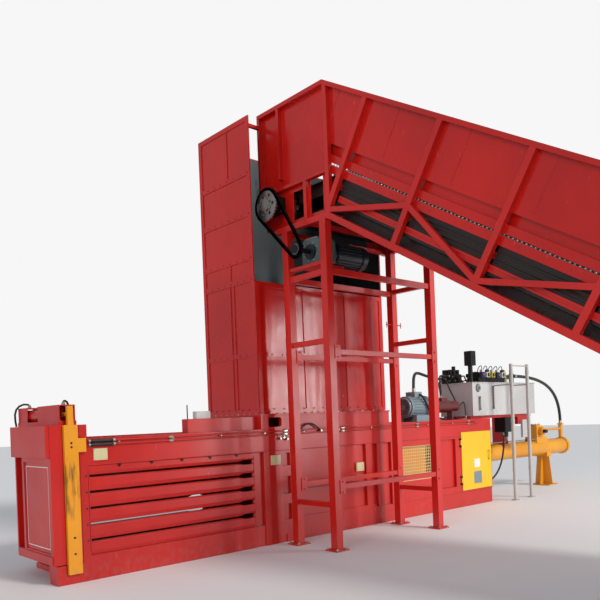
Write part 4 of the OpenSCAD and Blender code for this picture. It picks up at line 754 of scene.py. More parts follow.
@dataclass
class PointSet:
    """Points with an axis and a size each, on which a Geometry Nodes tree sets small parts."""

    points: list[Vector] = field(default_factory=list)
    axes: list[Vector] = field(default_factory=list)
    sizes: list[float] = field(default_factory=list)

    def put(self, point: Vector, axis: Vector, size: float) -> None:
        """Adds a point."""
        self.points.append(point)
        self.axes.append(axis)
        self.sizes.append(size)

    def mesh(self, name: str) -> bpy.types.Mesh:
        """The points as a mesh with the attributes axis and size."""
        mesh = bpy.data.meshes.new(name)
        mesh.from_pydata(self.points, [], [])
        axis = mesh.attributes.new("axis", "FLOAT_VECTOR", "POINT")
        axis.data.foreach_set("vector", [c for a in self.axes for c in a])
        size = mesh.attributes.new("size", "FLOAT", "POINT")
        size.data.foreach_set("value", self.sizes)
        return mesh


def open_tree(name: str, inputs: dict[str, float]) -> tuple[Tree, bpy.types.Node]:
    """Starts a Geometry Nodes tree, with a material input named Finish.

    Args:
        name: the tree's name.
        inputs: name of each number that the tree takes to its default.

    Returns:
        The tree and its input node.
    """
    tree = bpy.data.node_groups.new(name, "GeometryNodeTree")
    tree.interface.new_socket("Geometry", in_out="INPUT", socket_type="NodeSocketGeometry")
    tree.interface.new_socket("Geometry", in_out="OUTPUT", socket_type="NodeSocketGeometry")
    for label, default in inputs.items():
        socket = tree.interface.new_socket(label, in_out="INPUT", socket_type="NodeSocketFloat")
        socket.default_value = default
    tree.interface.new_socket("Finish", in_out="INPUT", socket_type="NodeSocketMaterial")
    return tree, add(tree, "NodeGroupInput")


def close_tree(tree: Tree, geometry: bpy.types.Node, material: Socket) -> None:
    """Ends a tree in Realize Instances and Set Material."""
    real = add(tree, "GeometryNodeRealizeInstances", None, {0: geometry})
    dressed = add(tree, "GeometryNodeSetMaterial", None, {0: real, "Material": material})
    add(tree, "NodeGroupOutput", None, {0: dressed})


def run_tree(tree: Tree, mesh: bpy.types.Mesh, name: str, finish: Finish,
             body: Body = Body.FRAME, smooth: float = 40.0) -> bpy.types.Object:
    """Runs a tree on a mesh and keeps the result as a plain mesh.

    Args:
        tree: the Geometry Nodes tree, with an input named Finish.
        mesh: what the tree works on.
        name: the piece's name.
        finish: its finish.
        body: the body that it rides on.
        smooth: faces that meet at less than this angle, in degrees, are shaded as one surface.

    Returns:
        The piece.
    """
    seed = new_object(name + "_points", mesh)
    modifier = seed.modifiers.new("build", "NODES")
    modifier.node_group = tree
    sockets = {item.name: item.identifier for item in tree.interface.items_tree
               if item.item_type == "SOCKET" and item.in_out == "INPUT"}
    modifier[sockets["Finish"]] = finish.material
    graph = bpy.context.evaluated_depsgraph_get()
    result = bpy.data.meshes.new_from_object(seed.evaluated_get(graph), preserve_all_data_layers=True,
                                             depsgraph=graph)
    bpy.data.objects.remove(seed)
    return declare(name, result, finish, body, smooth)


def bolt_tree() -> Tree:
    """Hexagon bolt heads on washers: one on each point, along its axis, scaled by its size."""
    tree, entry = open_tree("hexagon_bolts", {
        "Head radius": 1.0, "Head height": 0.75, "Washer radius": 1.25, "Washer height": 0.2,
        "Stud radius": 0.5, "Stud height": 0.3})
    joined = add(tree, "GeometryNodeJoinGeometry")
    # facets of each turned part, and the height of its middle as a share of the size
    for part, sides, lift in (("Head", 6, 0.5), ("Washer", 12, 0.0), ("Stud", 8, 0.9)):
        radius, height = entry.outputs[f"{part} radius"], entry.outputs[f"{part} height"]
        turned = add(tree, "GeometryNodeMeshCylinder", None,
                     {"Vertices": sides, "Radius": radius, "Depth": height})
        rise = add(tree, "ShaderNodeCombineXYZ", None, {"Z": lift})
        moved = add(tree, "GeometryNodeTransform", None, {0: turned, "Translation": rise})
        tree.links.new(moved.outputs[0], joined.inputs[0])
    axis = add(tree, "GeometryNodeInputNamedAttribute", {"data_type": "FLOAT_VECTOR"}, {"Name": "axis"})
    size = add(tree, "GeometryNodeInputNamedAttribute", {"data_type": "FLOAT"}, {"Name": "size"})
    turn = add(tree, "FunctionNodeAlignRotationToVector", {"axis": "Z"}, {"Vector": axis})
    twist = add(tree, "FunctionNodeRandomValue", {"data_type": "FLOAT"}, {2: 0.0, 3: 1.05, "Seed": 7})
    spin = add(tree, "FunctionNodeAxisAngleToRotation", None, {"Axis": UP, "Angle": twist.outputs[1]})
    pose = add(tree, "FunctionNodeRotateRotation", {"rotation_space": "LOCAL"}, {0: turn, 1: spin})
    placed = add(tree, "GeometryNodeInstanceOnPoints", None, {
        "Points": entry.outputs["Geometry"], "Instance": joined, "Rotation": pose, "Scale": size})
    close_tree(tree, placed, entry.outputs["Finish"])
    return tree


def weld_tree() -> Tree:
    """Weld beads: each edge becomes a low ripple of even steps."""
    tree, entry = open_tree("weld_beads", {"Bead radius": 0.006, "Ripple": 0.012})
    curve = add(tree, "GeometryNodeMeshToCurve", None, {0: entry.outputs["Geometry"]})
    steps = add(tree, "GeometryNodeResampleCurve", {"mode": "LENGTH"},
                {0: curve, "Length": entry.outputs["Ripple"]})
    ripple = add(tree, "FunctionNodeRandomValue", {"data_type": "FLOAT"}, {2: 0.72, 3: 1.12, "Seed": 3})
    radius = add(tree, "GeometryNodeSetCurveRadius", None, {0: steps, "Radius": ripple.outputs[1]})
    ring = add(tree, "GeometryNodeCurvePrimitiveCircle", {"mode": "RADIUS"},
               {"Resolution": 6, "Radius": entry.outputs["Bead radius"]})
    bead = add(tree, "GeometryNodeCurveToMesh", None, {0: radius, 1: ring, "Fill Caps": True})
    close_tree(tree, bead, entry.outputs["Finish"])
    return tree


def link_tree() -> Tree:
    """Links of a roller chain: two plates and a roller, one link on each point, along its axis."""
    tree, entry = open_tree("chain_links", {
        "Pitch": 0.0381, "Plate radius": 0.0215, "Plate thickness": 0.005,
        "Gauge": 0.0125, "Roller radius": 0.0115})
    thickness, plate_radius = entry.outputs["Plate thickness"], entry.outputs["Plate radius"]
    joined = add(tree, "GeometryNodeJoinGeometry")
    quarter = add(tree, "FunctionNodeEulerToRotation", None, {0: (0, math.pi / 2, 0)})

    def times(name: str, factor: float) -> bpy.types.Node:
        """One of the tree's inputs times a factor."""
        return add(tree, "ShaderNodeMath", {"operation": "MULTIPLY"}, {0: entry.outputs[name], 1: factor})

    def put(part: bpy.types.Node, across: float, along: float, turned: bool) -> None:
        """Joins a part to the link: its place across in gauges and along in pitches."""
        place = add(tree, "ShaderNodeCombineXYZ", None,
                    {"X": times("Gauge", across), "Z": times("Pitch", along)})
        links = {0: part, "Translation": place, **({"Rotation": quarter} if turned else {})}
        moved = add(tree, "GeometryNodeTransform", None, links)
        tree.links.new(moved.outputs[0], joined.inputs[0])

    for across in (-1, 1):
        for along in (-0.5, 0.5):
            end = {"Vertices": 16, "Radius": plate_radius, "Depth": thickness}
            put(add(tree, "GeometryNodeMeshCylinder", None, end), across, along, True)
        size = add(tree, "ShaderNodeCombineXYZ", None,
                   {"X": thickness, "Y": times("Plate radius", 1.45), "Z": entry.outputs["Pitch"]})
        put(add(tree, "GeometryNodeMeshCube", None, {"Size": size}), across, 0, False)
    roller = {"Vertices": 12, "Radius": entry.outputs["Roller radius"], "Depth": times("Gauge", 1.9)}
    put(add(tree, "GeometryNodeMeshCylinder", None, roller), 0, 0.5, True)
    axis = add(tree, "GeometryNodeInputNamedAttribute", {"data_type": "FLOAT_VECTOR"}, {"Name": "axis"})
    turn = add(tree, "FunctionNodeAlignRotationToVector", {"axis": "Z"}, {"Vector": axis})
    level = add(tree, "FunctionNodeAlignRotationToVector", {"axis": "X", "pivot_axis": "Z"},
                {"Rotation": turn, "Vector": REAR})
    placed = add(tree, "GeometryNodeInstanceOnPoints", None,
                 {"Points": entry.outputs["Geometry"], "Instance": joined, "Rotation": level})
    close_tree(tree, placed, entry.outputs["Finish"])
    return tree


class Fasteners:
    """The bolts and the weld beads of the whole machine, one piece of each for each body and finish."""

    def __init__(self) -> None:
        """Starts with none."""
        self.bolts: dict[tuple[Body, Finish], PointSet] = {}
        self.welds: dict[tuple[Body, Finish], list[tuple[Vector, Vector]]] = {}

    def bolt(self, place: Point, axis: Point, size: float, finish: Finish = Finish.ZINC,
             body: Body = Body.FRAME) -> None:
        """Adds a bolt whose washer lies at a place.

        Args:
            place: centre of the seat.
            axis: outward direction.
            size: corner radius of the head.
            finish: its finish.
            body: the body that it rides on.
        """
        self.bolts.setdefault((body, finish), PointSet()).put(Vector(place), Vector(axis).normalized(), size)

    def row(self, start: Point, end: Point, count: int, axis: Point, size: float,
            finish: Finish = Finish.ZINC, body: Body = Body.FRAME) -> None:
        """Adds a row of bolts from start to end."""
        first, last = Vector(start), Vector(end)
        for k in range(count):
            self.bolt(first.lerp(last, k / (count - 1)), axis, size, finish, body)

    def circle(self, centre: Point, axis: Point, radius: float, count: int, size: float,
               finish: Finish = Finish.ZINC, body: Body = Body.FRAME) -> None:
        """Adds a circle of bolts."""
        place = Matrix.Translation(centre) @ frame_of(Vector(axis))
        for k in range(count):
            turn = 2 * math.pi * (k + 0.5) / count
            seat = place @ Vector((radius * math.cos(turn), radius * math.sin(turn), 0))
            self.bolt(seat, axis, size, finish, body)

    def weld(self, start: Point, end: Point, finish: Finish = Finish.RED, body: Body = Body.FRAME) -> None:
        """Adds a straight weld bead."""
        self.welds.setdefault((body, finish), []).append((Vector(start), Vector(end)))

    def build(self) -> None:
        """Makes the pieces."""
        heads, beads = bolt_tree(), weld_tree()
        for (body, finish), group in self.bolts.items():
            name = f"bolts_{body.value}_{finish.name.lower()}"
            run_tree(heads, group.mesh(name), name, finish, body, smooth=25)
        for (body, finish), lines in self.welds.items():
            name = f"welds_{body.value}_{finish.name.lower()}"
            mesh = bpy.data.meshes.new(name)
            ends = [p for line in lines for p in line]
            mesh.from_pydata(ends, [(2 * k, 2 * k + 1) for k in range(len(lines))], [])
            run_tree(beads, mesh, name, finish, body, smooth=80)


@dataclass
class Assembly:
    """A part of the machine, with the small pieces, bolts and welds that dress it.

    Attributes:
        fasteners: where its bolts and welds go.
    """

    fasteners: Fasteners

    def build(self) -> None:
        """Builds its pieces."""
        raise NotImplementedError


@dataclass
class Chamber(Assembly):
    """Bale chamber, press section and rear section: bolts, welds, plates and the pipes' fittings.

    Attributes:
        near_y: Y of the near side's plates.
        weld_z: Z of the long welds under the top beam.
        plate: width and height of a bare plate.
        screw_inset: distance of a plate's screws from its edges.
        pipe_zs: Z of the two pipes along the top beam.
        switch_x: X of the switch that shows a full chamber.
        slot_pitch: pitch of the wire slots.
    """

    near_y: float = -0.6
    weld_z: float = 1.165
    plate: Pair = (0.15, 0.12)
    screw_inset: float = 0.012
    pipe_zs: Pair = (1.41, 1.37)
    switch_x: float = 1.33
    slot_pitch: float = 0.163

    def welds(self) -> None:
        """Adds the near side's welds and the dark gusset marks under its beam."""
        y = self.near_y - 0.002
        for x in (0.084, 2.2):
            self.fasteners.weld((x, y, 0.3), (x, y, 1.12))
        for start, end in ((0.08, 2.2), (2.23, 7.38)):
            self.fasteners.weld((start, y, self.weld_z), (end, y, self.weld_z))
        y = self.near_y - 0.001
        for x in (0.4, 0.78, 1.16, 1.54, 1.92):
            mark = Shape().prism([(x, y, 1.163), (x + 0.05, y, 1.163), (x + 0.025, y, 1.128)], (0, -0.012, 0))
            mark.piece(f"fascia_gusset_{round(x * 100)}", Finish.OILED)

    def plates(self) -> None:
        """Builds the bare plates with their screws, and the painted edge of the floor plate."""
        face = self.near_y - 0.0175
        wide, high = self.plate
        for name, x, z in (("chamber", 0.14, 1.27), ("press", 2.47, 1.05), ("feed", 4.00, 0.85)):
            plate = Shape().box((x, face, z - high / 2), (x + wide, self.near_y, z + high / 2), 0.002)
            plate.piece(f"blank_plate_{name}", Finish.CREAM_PLATE)
            rise = high / 2 - self.screw_inset
            for screw_z in (z + rise, z - rise):
                for screw_x in (x + self.screw_inset, x + wide - self.screw_inset):
                    self.fasteners.bolt((screw_x, face, screw_z), NEAR, 0.004)
        edge = Shape()
        for start, end in ((2.2, 2.36), (2.55, 2.9), (4.38, 7.379)):
            edge.box((start, -0.5865, 0.221), (end, -0.584, 0.249))
        edge.piece("floor_edge_paint", Finish.RED)

    def roof(self) -> None:
        """Adds the bolts of the roof's flange and of the hopper's collar."""
        self.fasteners.row((0.11, -0.5, 1.441), (2.15, -0.5, 1.441), 14, UP, 0.011, Finish.RED)
        self.fasteners.row((2.4, -0.575, 1.63), (4.68, -0.575, 1.63), 20, UP, 0.012)
        self.fasteners.row((2.35, -0.5, 1.63), (2.35, 0.5, 1.63), 9, UP, 0.011)

    def pipes(self) -> None:
        """Builds the pipes' unions and clamp screws, and the corrugated guards at their flange end."""
        unions = Shape()
        union = [(0, 0.012), (0.002, 0.016), (0.014, 0.016), (0.016, 0.0195), (0.05, 0.0195), (0.052, 0.012)]
        for x in (1.02, 2.69, 3.72, 5.35, 6.7):
            for z in self.pipe_zs:
                unions.lathe((x, -0.614, z), REAR, union, 6)
        unions.piece("pipe_unions", Finish.ZINC, smooth=20)
        for k in range(11):
            self.fasteners.bolt((0.42 + 0.65 * k, -0.628, 1.39), NEAR, 0.009)
        folds = [(0.1 + 0.0045 * k, 0.0145 if k % 2 else 0.018) for k in range(58)]
        for k, z in enumerate(self.pipe_zs):
            guard = Shape().lathe((0, -0.6145, z), REAR, folds, 16)
            guard.piece(f"pipe_guard_{k}", Finish.BLACK_PLASTIC, smooth=80)
        ends = Shape()
        for z in self.pipe_zs:
            for x, profile in ((0.085, [(0, 0.014), (0.002, 0.0185), (0.02, 0.0185), (0.022, 0.016)]),
                               (0.355, [(0, 0.016), (0.002, 0.0185), (0.024, 0.0185), (0.026, 0.012)])):
                ends.lathe((x, -0.6145, z), REAR, profile, 12)
        ends.piece("guard_ends", Finish.ZINC)

    def switch(self) -> None:
        """Builds the cover of the full chamber switch on the roof, and the sleeve of its wand."""
        x = self.switch_x
        cover = Shape().box((x + 0.1385, -0.5015, 1.600), (x + 0.3315, -0.4185, 1.6865), 0.004)
        cover.piece("chamber_switch_cover", Finish.WHITE_PLASTIC)
        sleeve = Shape().rod((x + 0.02, -0.49, 1.6), (x + 0.02, -0.49, 1.7615), 0.0068, 12)
        sleeve.piece("switch_wand_sleeve", Finish.HOSE)

    def collar(self) -> None:
        """Builds the loop of hose over the clamp and the fittings on the collar."""
        shares = [k / 24 for k in range(25)]
        loop = [(2.92 + 0.4 * t, -0.632, 1.39 + 0.10 * math.sin(math.pi * t)) for t in shares]
        Shape().tube(loop, 0.011).piece("pipe_bridge_hose", Finish.HOSE)
        fittings = Shape()
        for x in (2.92, 3.32):
            fittings.rod((x, -0.61, 1.39), (x, -0.65, 1.39), 0.017, 6)
        for x, z in ((2.62, 1.315), (2.675, 1.325), (2.73, 1.305)):
            fittings.rod((x, -0.60, z), (x, -0.642, z), 0.016, 6)
            fittings.rod((x, -0.63, z), (x, -0.63, 1.36), 0.008, 12)
        fittings.piece("collar_fittings", Finish.ZINC, smooth=30)

    def posts(self) -> None:
        """Builds black discs at the wire slots' ends, painted shade for the slots' open ends, and adds the bolts of
        the press section's posts.
        """
        y = self.near_y
        # black discs: painted shade where the slots open into dark holes at their ends
        marks = Shape()
        for k in range(5):
            z = 0.402 + self.slot_pitch * k
            marks.rod((0.055, y - 0.0005, z), (0.055, y - 0.0035, z), 0.011, 16)
        marks.piece("slot_end_painted_shade", Finish.BLACK_PLASTIC)
        for z in (0.58, 1.05):
            self.fasteners.row((4.86, y + 0.004, z), (5.76, y + 0.004, z), 6, NEAR, 0.009)

    def build(self) -> None:
        """Builds its pieces."""
        self.welds()
        self.plates()
        self.roof()
        self.pipes()
        self.switch()
        self.collar()
        self.posts()


@dataclass
class Door(Assembly):
    """Bale door with the lock: border line, bolts, welds and the cylinder's hoses.

    Attributes:
        face_x: X of the door's outer face.
        low: Y and Z of the lower corner of the border line.
        high: Y and Z of its upper corner.
        line: width of the line.
    """

    face_x: float = -0.289
    low: Pair = (-0.50, 0.35)
    high: Pair = (0.09, 1.17)
    line: float = 0.008

    def border(self) -> None:
        """Builds the painted line round the door's empty field."""
        (y0, z0), (y1, z1), wide = self.low, self.high, self.line
        line = Shape()
        for low, high in (((y0, z0), (y1, z0 + wide)),
                          ((y0, z1 - wide), (y1, z1)),
                          ((y0, z0 + wide), (y0 + wide, z1 - wide)),
                          ((y1 - wide, z0 + wide), (y1, z1 - wide))):
            line.box((self.face_x - 0.0015, *low), (self.face_x + 0.001, *high))
        line.piece("door_border_line", Finish.PAPER, Body.DOOR)

    def cylinder(self) -> None:
        """Builds the ports of the lock cylinder and the hoses that hang from them."""
        ports, hoses = Shape(), Shape()
        for y in (-0.48, 0.44):
            ports.fitting((-0.10, y, 1.785), UP, (0.018, 0.02), (0.034, 0.014))
        ports.piece("lock_cylinder_ports", Finish.ZINC, Body.DOOR, smooth=25)
        for route in (
            [(-0.10, -0.48, 1.80), (-0.10, -0.48, 1.812), (-0.09, -0.472, 1.824), (-0.068, -0.452, 1.828),
             (-0.036, -0.422, 1.815), (-0.006, -0.39, 1.77), (0.006, -0.375, 1.70), (0.006, -0.37, 1.584)],
            [(-0.10, 0.44, 1.80), (-0.10, 0.44, 1.812), (-0.113, 0.453, 1.826), (-0.145, 0.487, 1.83),
             (-0.18, 0.525, 1.812), (-0.204, 0.556, 1.775), (-0.214, 0.574, 1.72), (-0.21, 0.58, 1.65),
             (-0.202, 0.576, 1.584)],
        ):
            hoses.tube(route, 0.011)
        hoses.piece("lock_cylinder_hoses", Finish.HOSE, Body.DOOR)

    def build(self) -> None:
        """Builds its pieces."""
        self.border()
        for y in (-0.53, 0.12):
            self.fasteners.weld((-0.29, y, 0.31), (-0.29, y, 1.21), body=Body.DOOR)
        self.fasteners.weld((-0.304, -0.59, 1.26), (-0.304, 0.37, 1.26), body=Body.DOOR)
        for y in (-0.50, -0.12, 0.05, 0.33):
            for x in (-0.15, -0.05):
                self.fasteners.bolt((x, y, 1.625), UP, 0.011, body=Body.DOOR)
        self.cylinder()
        for low, high in ((0.3, 0.46), (1.36, 1.40)):
            self.fasteners.row((-0.1, -0.6405, low), (-0.1, -0.6405, high), 2, NEAR, 0.009,
                               Finish.OILED, Body.LOCK)


@dataclass
class Hopper(Assembly):
    """Hopper panels: seam bolts, welds and the bare steel inside.

    Attributes:
        seams: Z of the seams of the left panel, of which the lowest two go round the near panel.
    """

    seams: tuple[float, ...] = (1.69, 2.38, 3.32, 3.59, 4.14, 4.65)

    def build(self) -> None:
        """Builds its pieces."""
        for z in self.seams:
            self.fasteners.row((2.348, -0.5, z), (2.348, 0.5, z), 8, FRONT, 0.009, Finish.RED_SHEET)
        for z in self.seams[:2]:
            self.fasteners.row((2.42, -0.562, z), (4.66, -0.562, z), 14, NEAR, 0.009, Finish.RED_SHEET)
        for name, low, high in (("far", (2.368, 0.5405, 1.64), (4.712, 0.5435, 5.33)),
                                ("right", (4.7095, -0.5435, 1.64), (4.7135, 0.5435, 5.33)),
                                ("left", (2.3665, -0.5435, 1.64), (2.3705, 0.5435, 5.33)),
                                ("near", (2.372, -0.5435, 1.64), (4.708, -0.5405, 3.27))):
            Shape().box(low, high, 0.001).piece(f"hopper_lining_{name}", Finish.HOPPER_INSIDE)
        for x in (2.357, 4.723):
            self.fasteners.weld((x, -0.552, 1.65), (x, -0.552, 3.28), Finish.RED_SHEET)


@dataclass
class Conveyor(Assembly):
    """Inclined conveyor: rollers and bolts along its rails, side guards' ribs and edges, welds and anchors.

    Attributes:
        slope: slope of the conveyor.
        bend_y: Y of the bend.
        top_z: Z of the top edge at the head.
        head: Y and Z of the head shaft's axis.
        guard: where the side guards start and end along the slope.
        guard_inset: distance of the guards' plates inside the sides' outer face.
    """

    slope: float = math.radians(31.2)
    bend_y: float = -1.59
    top_z: float = 5.463
    head: Pair = HEAD_AXIS
    guard: Pair = (0.84, 7.5)
    guard_inset: float = 0.084

    def on_slope(self, along: float, below: float) -> Pair:
        """Y and Z of a point along the slope and square below its top edge."""
        return (self.bend_y - along * math.cos(self.slope) + below * math.sin(self.slope),
                self.top_z - along * math.sin(self.slope) - below * math.cos(self.slope))

    def guards(self, name: str, x: float, way: int) -> None:
        """Builds the ribs and the red edge rail of one side guard."""
        ribs, rail = Shape(), Shape()
        first, last = self.guard
        plate_x = x - way * self.guard_inset
        for below, radius in ((0.955, 0.010), (0.985, 0.006), (1.03, 0.012), (1.065, 0.006)):
            for k in range(6):
                start = first + 1.13 * k
                ends = [(plate_x, *self.on_slope(along, below)) for along in (start, start + 1.03)]
                ribs.tube(ends, radius, 6)
        ribs.piece(f"guard_ribs_{name}", Finish.GUARD)
        for low, high, inset in ((1.095, 1.119, 0.072), (1.141, 1.165, 0.072), (1.100, 1.160, 0.078)):
            corners = [(x - way * inset, *self.on_slope(along, below))
                       for along, below in ((first, low), (last, low), (last, high), (first, high))]
            rail.prism(corners, (way * (inset - self.guard_inset), 0, 0))
        rail.piece(f"guard_edge_{name}", Finish.RED_TRUSS)

    def side(self, name: str, x: float, way: int) -> None:
        """Builds what repeats along one side.

        Args:
            name: the side's name.
            x: X of its outer face.
            way: 1 where it faces +X, and -1 where it faces -X.
        """
        axis = (way, 0, 0)
        # rollers of the apron's chain in the slit above its rail, then the rail's joint bolts
        for k in range(150):
            place = (x - way * 0.066, *self.on_slope(0.45 + 0.051 * k, 0.812))
            self.fasteners.bolt(place, axis, 0.0075)
        for k in range(14):
            place = (x - way * 0.06, *self.on_slope(0.5 + 0.56 * k, 0.866))
            self.fasteners.bolt(place, axis, 0.006, Finish.RED)
        self.guards(name, x, way)
        for k in range(8):
            low, high = ((x - way * 0.0598, *self.on_slope(0.3 + k, below)) for below in (0.56, 0.06))
            self.fasteners.weld(low, high, Finish.RED_SHEET)
        self.fasteners.circle((x + way * 0.02, *self.head), axis, 0.085, 4, 0.013, Finish.OILED)

    def foot(self, x: float, y: float) -> None:
        """Adds the anchors and welds of one leg's foot."""
        for dx in (-0.075, 0.075):
            for dy in (-0.075, 0.075):
                self.fasteners.bolt((x + dx, y + dy, 0.016), UP, 0.016)
        for dx in (-0.05, 0.05):
            self.fasteners.weld((x + dx, y - 0.05, 0.018), (x + dx, y + 0.05, 0.018))
        self.fasteners.weld((x - 0.05, y - 0.051, 0.018), (x + 0.05, y - 0.051, 0.018))

    def build(self) -> None:
        """Builds its pieces."""
        self.side("left", 2.63, -1)
        self.side("right", 4.67, 1)
        for x in (2.68, 4.62):
            for y in (-0.84, -1.51):
                self.foot(x, y)


@dataclass
class Drive(Assembly):
    """Chain drive of the conveyor's head, with its gearmotor.

    Attributes:
        x: plane of the chain.
        head: Y and Z of the head shaft's axis.
        motor: Y and Z of the gearmotor's axis.
        big: pitch radius of the large sprocket.
        small: pitch radius of the small sprocket.
        links: links in the chain.
        pitch: pitch of the chain.
        casing: Y and Z of the gearbox casing's corners, from the motor's axis.
    """

    x: float = 2.488
    head: Pair = HEAD_AXIS
    motor: Pair = (-1.203995, 3.560637)
    big: float = 0.1944
    small: float = 0.09765
    links: int = 68
    pitch: float = 0.0381
    casing: tuple[Pair, ...] = (
        (-0.153, -0.126), (-0.118, -0.163), (0.118, -0.163), (0.153, -0.126),
        (0.153, 0.126), (0.118, 0.163), (-0.118, 0.163), (-0.153, 0.126))

    @staticmethod
    def turned(flat: Vector, angle: float) -> Vector:
        """A flat vector turned counterclockwise."""
        cos, sin = math.cos(angle), math.sin(angle)
        return Vector((flat.x * cos - flat.y * sin, flat.x * sin + flat.y * cos))

    def place(self, travelled: float) -> Vector:
        """Point on the chain's path, by the distance travelled from the large sprocket's first contact."""
        head, motor = Vector(self.head), Vector(self.motor)
        apart = (motor - head).length
        line = (motor - head) / apart
        side = Vector((-line.y, line.x))
        lean = math.asin((self.big - self.small) / apart)
        first = math.sin(lean) * line + math.cos(lean) * side
        second = math.sin(lean) * line - math.cos(lean) * side
        straight = apart * math.cos(lean)
        wrap, turn = (math.pi + 2 * lean) * self.big, (math.pi - 2 * lean) * self.small
        left = travelled % (wrap + turn + 2 * straight)
        if left < wrap:
            flat = head + self.turned(first, left / self.big) * self.big
        elif left < wrap + straight:
            flat = (head + second * self.big).lerp(motor + second * self.small, (left - wrap) / straight)
        elif left < wrap + straight + turn:
            flat = motor + self.turned(second, (left - wrap - straight) / self.small) * self.small
        else:
            share = (left - wrap - straight - turn) / straight
            flat = (motor + first * self.small).lerp(head + first * self.big, share)
        return Vector((self.x, *flat))

    def chain(self) -> None:
        """Builds the chain's links on the pitch line."""
        links = PointSet()
        stops = [self.place(k * self.pitch) for k in range(self.links + 1)]
        for start, end in zip(stops, stops[1:]):
            links.put((start + end) / 2, (end - start).normalized(), 1.0)
        name = "drive_chain_links"
        piece = run_tree(link_tree(), links.mesh(name), name, Finish.OILED, smooth=30)
        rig.replaces(piece, "drive_chain")

    def outline(self, x: float, scale: float) -> list[Point]:
        """Corners of the gearbox's casing at an X, scaled about the motor's axis."""
        y, z = self.motor
        return [(x, y + a * scale, z + b * scale) for a, b in self.casing]

    def gearmotor(self) -> None:
        """Builds the gearmotor's cowl, flange bolts, cover, ribbed casing, sprocket ring and eye bolt."""
        y, z = self.motor
        cowl = [(0, 0.088), (0.004, 0.094), (0.18, 0.094), (0.215, 0.075), (0.22, 0.03)]
        Shape().lathe((3.36, y, z), REAR, cowl, 32).piece("gearmotor_fan_cowl", Finish.NAVY)
        for x, axis in ((2.725, FRONT), (2.975, REAR)):
            self.fasteners.circle((x, y, z), axis, 0.11, 8, 0.009)
        cover = Shape().box((2.735, y - 0.1, z + 0.163), (2.985, y + 0.1, z + 0.171), 0.003)
        cover.piece("gearbox_top_cover", Finish.WHITE)
        casing = Shape().prism(self.outline(2.727, 1.0), (0.266, 0, 0))
        for x in (2.77, 2.83, 2.89, 2.95):
            casing.prism(self.outline(x, 1.03), (0.008, 0, 0))
        casing.piece("gearbox_casing", Finish.GEARBOX)
        ring = [(0, 0.05), (0.002, 0.062), (0.008, 0.062), (0.010, 0.05)]
        turned = Shape().lathe((self.x - 0.012, y, z), FRONT, ring, 32)
        turned.piece("small_sprocket_ring", Finish.MACHINED, Body.MOTOR_SHAFT)
        eye = Shape().tube(ring_path((2.86, y, z + 0.18), 0.022, 16), 0.006, 8)
        eye.piece("gearbox_eye_bolt", Finish.OILED)

    def build(self) -> None:
        """Builds its pieces."""
        self.chain()
        self.fasteners.circle((self.x - 0.0155, *self.head), FRONT, 0.085, 6, 0.012, body=Body.HEAD_SHAFT)
        self.gearmotor()


def hose_route(controls: Sequence[Point], steps: int, straight: float = 0.025) -> list[Vector]:
    """Points of a hose: a cubic with straight ends, as in the CAD model.

    Args:
        controls: its start, the two points that bend it, and its end.
        steps: steps of the cubic.
        straight: length of the straight ends.

    Returns:
        The points from start to end.
    """
    p0, p1, p2, p3 = (Vector(p) for p in controls)
    a = p0 + (p1 - p0).normalized() * straight
    b = p3 + (p2 - p3).normalized() * straight
    curve = []
    for k in range(steps + 1):
        t = k / steps
        curve.append((1 - t) ** 3 * a + 3 * (1 - t) ** 2 * t * p1 + 3 * (1 - t) * t * t * p2 + t ** 3 * b)
    return [p0, *curve, p3]


def hose_ends(points: list[Vector]) -> tuple[tuple[Vector, Vector], ...]:
    """Both end points of a hose, each with the direction into the hose."""
    ends = ((points[0], points[1]), (points[-1], points[-2]))
    return tuple((end, (after - end).normalized()) for end, after in ends)


@dataclass(frozen=True)
class Hose:
    """A stiff hose that hangs between two fittings, with crimped ferrules.

    Attributes:
        name: its name.
        controls: its start, the two points that bend it, and its end.
        steps: steps of its curve.
        radius: its radius.
        in_cad: whether the CAD node of the hoses holds it.
    """

    name: str
    controls: tuple[Point, Point, Point, Point]
    steps: int
    radius: float
    in_cad: bool = True

    def build(self) -> None:
        """Builds the hose as a cord, with its ferrules."""
        points, radius = hose_route(self.controls, self.steps), self.radius
        hose = Shape().tube(points, radius, 20).piece(self.name, Finish.HOSE, smooth=60)
        if self.in_cad:
            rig.replaces(hose, "oil_hoses")
        # distance along the ferrule, and its radius over the hose's
        crimps = ((0, 0.75), (0.002, 1.2), (0.018, 1.2), (0.02, 1.08), (0.03, 1.16), (0.036, 1.06),
                  (0.046, 1.16), (0.052, 1.06), (0.062, 1.14), (0.064, 1))
        ends = Shape()
        for end, axis in hose_ends(points):
            ends.lathe(end, axis, [(along, radius * share) for along, share in crimps], 24)
        ferrules = ends.piece(f"{self.name}_ferrules", Finish.ZINC)
        length = sum((b - a).length for a, b in zip(points, points[1:]))
        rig.cord(hose, points[0], round(length, 4), radius * 2, "object", stiffness="stiff", lay="hanging",
                path=points, with_pieces=[ferrules])


@dataclass
class Hoses(Assembly):
    """The free hoses of the hydraulics.

    Attributes:
        hoses: pressure line to the riser, motor's conduit hose and the small pump set's drain.
    """

    hoses: tuple[Hose, ...] = (
        Hose("pressure_hose",
             ((8.81, -0.25, 2.21), (10.06, -0.25, 2.21), (11.04, 0, 1.935), (11.04, 0, 1.245)), 40, 0.030),
        Hose("motor_conduit_hose",
             ((5.69, -0.32, 1.91), (5.69, -0.32, 2.43), (6.27, 0.05, 2.15), (7.07, 0.05, 2.15)), 36, 0.024),
        Hose("drain_hose",
             ((8.20, -0.36, 1.172), (8.16, -0.40, 0.55), (7.95, -0.30, 0.22), (7.402, -0.30, 0.30)),
             40, 0.016, in_cad=False),
    )

    def build(self) -> None:
        """Builds its pieces."""
        for hose in self.hoses:
            hose.build()


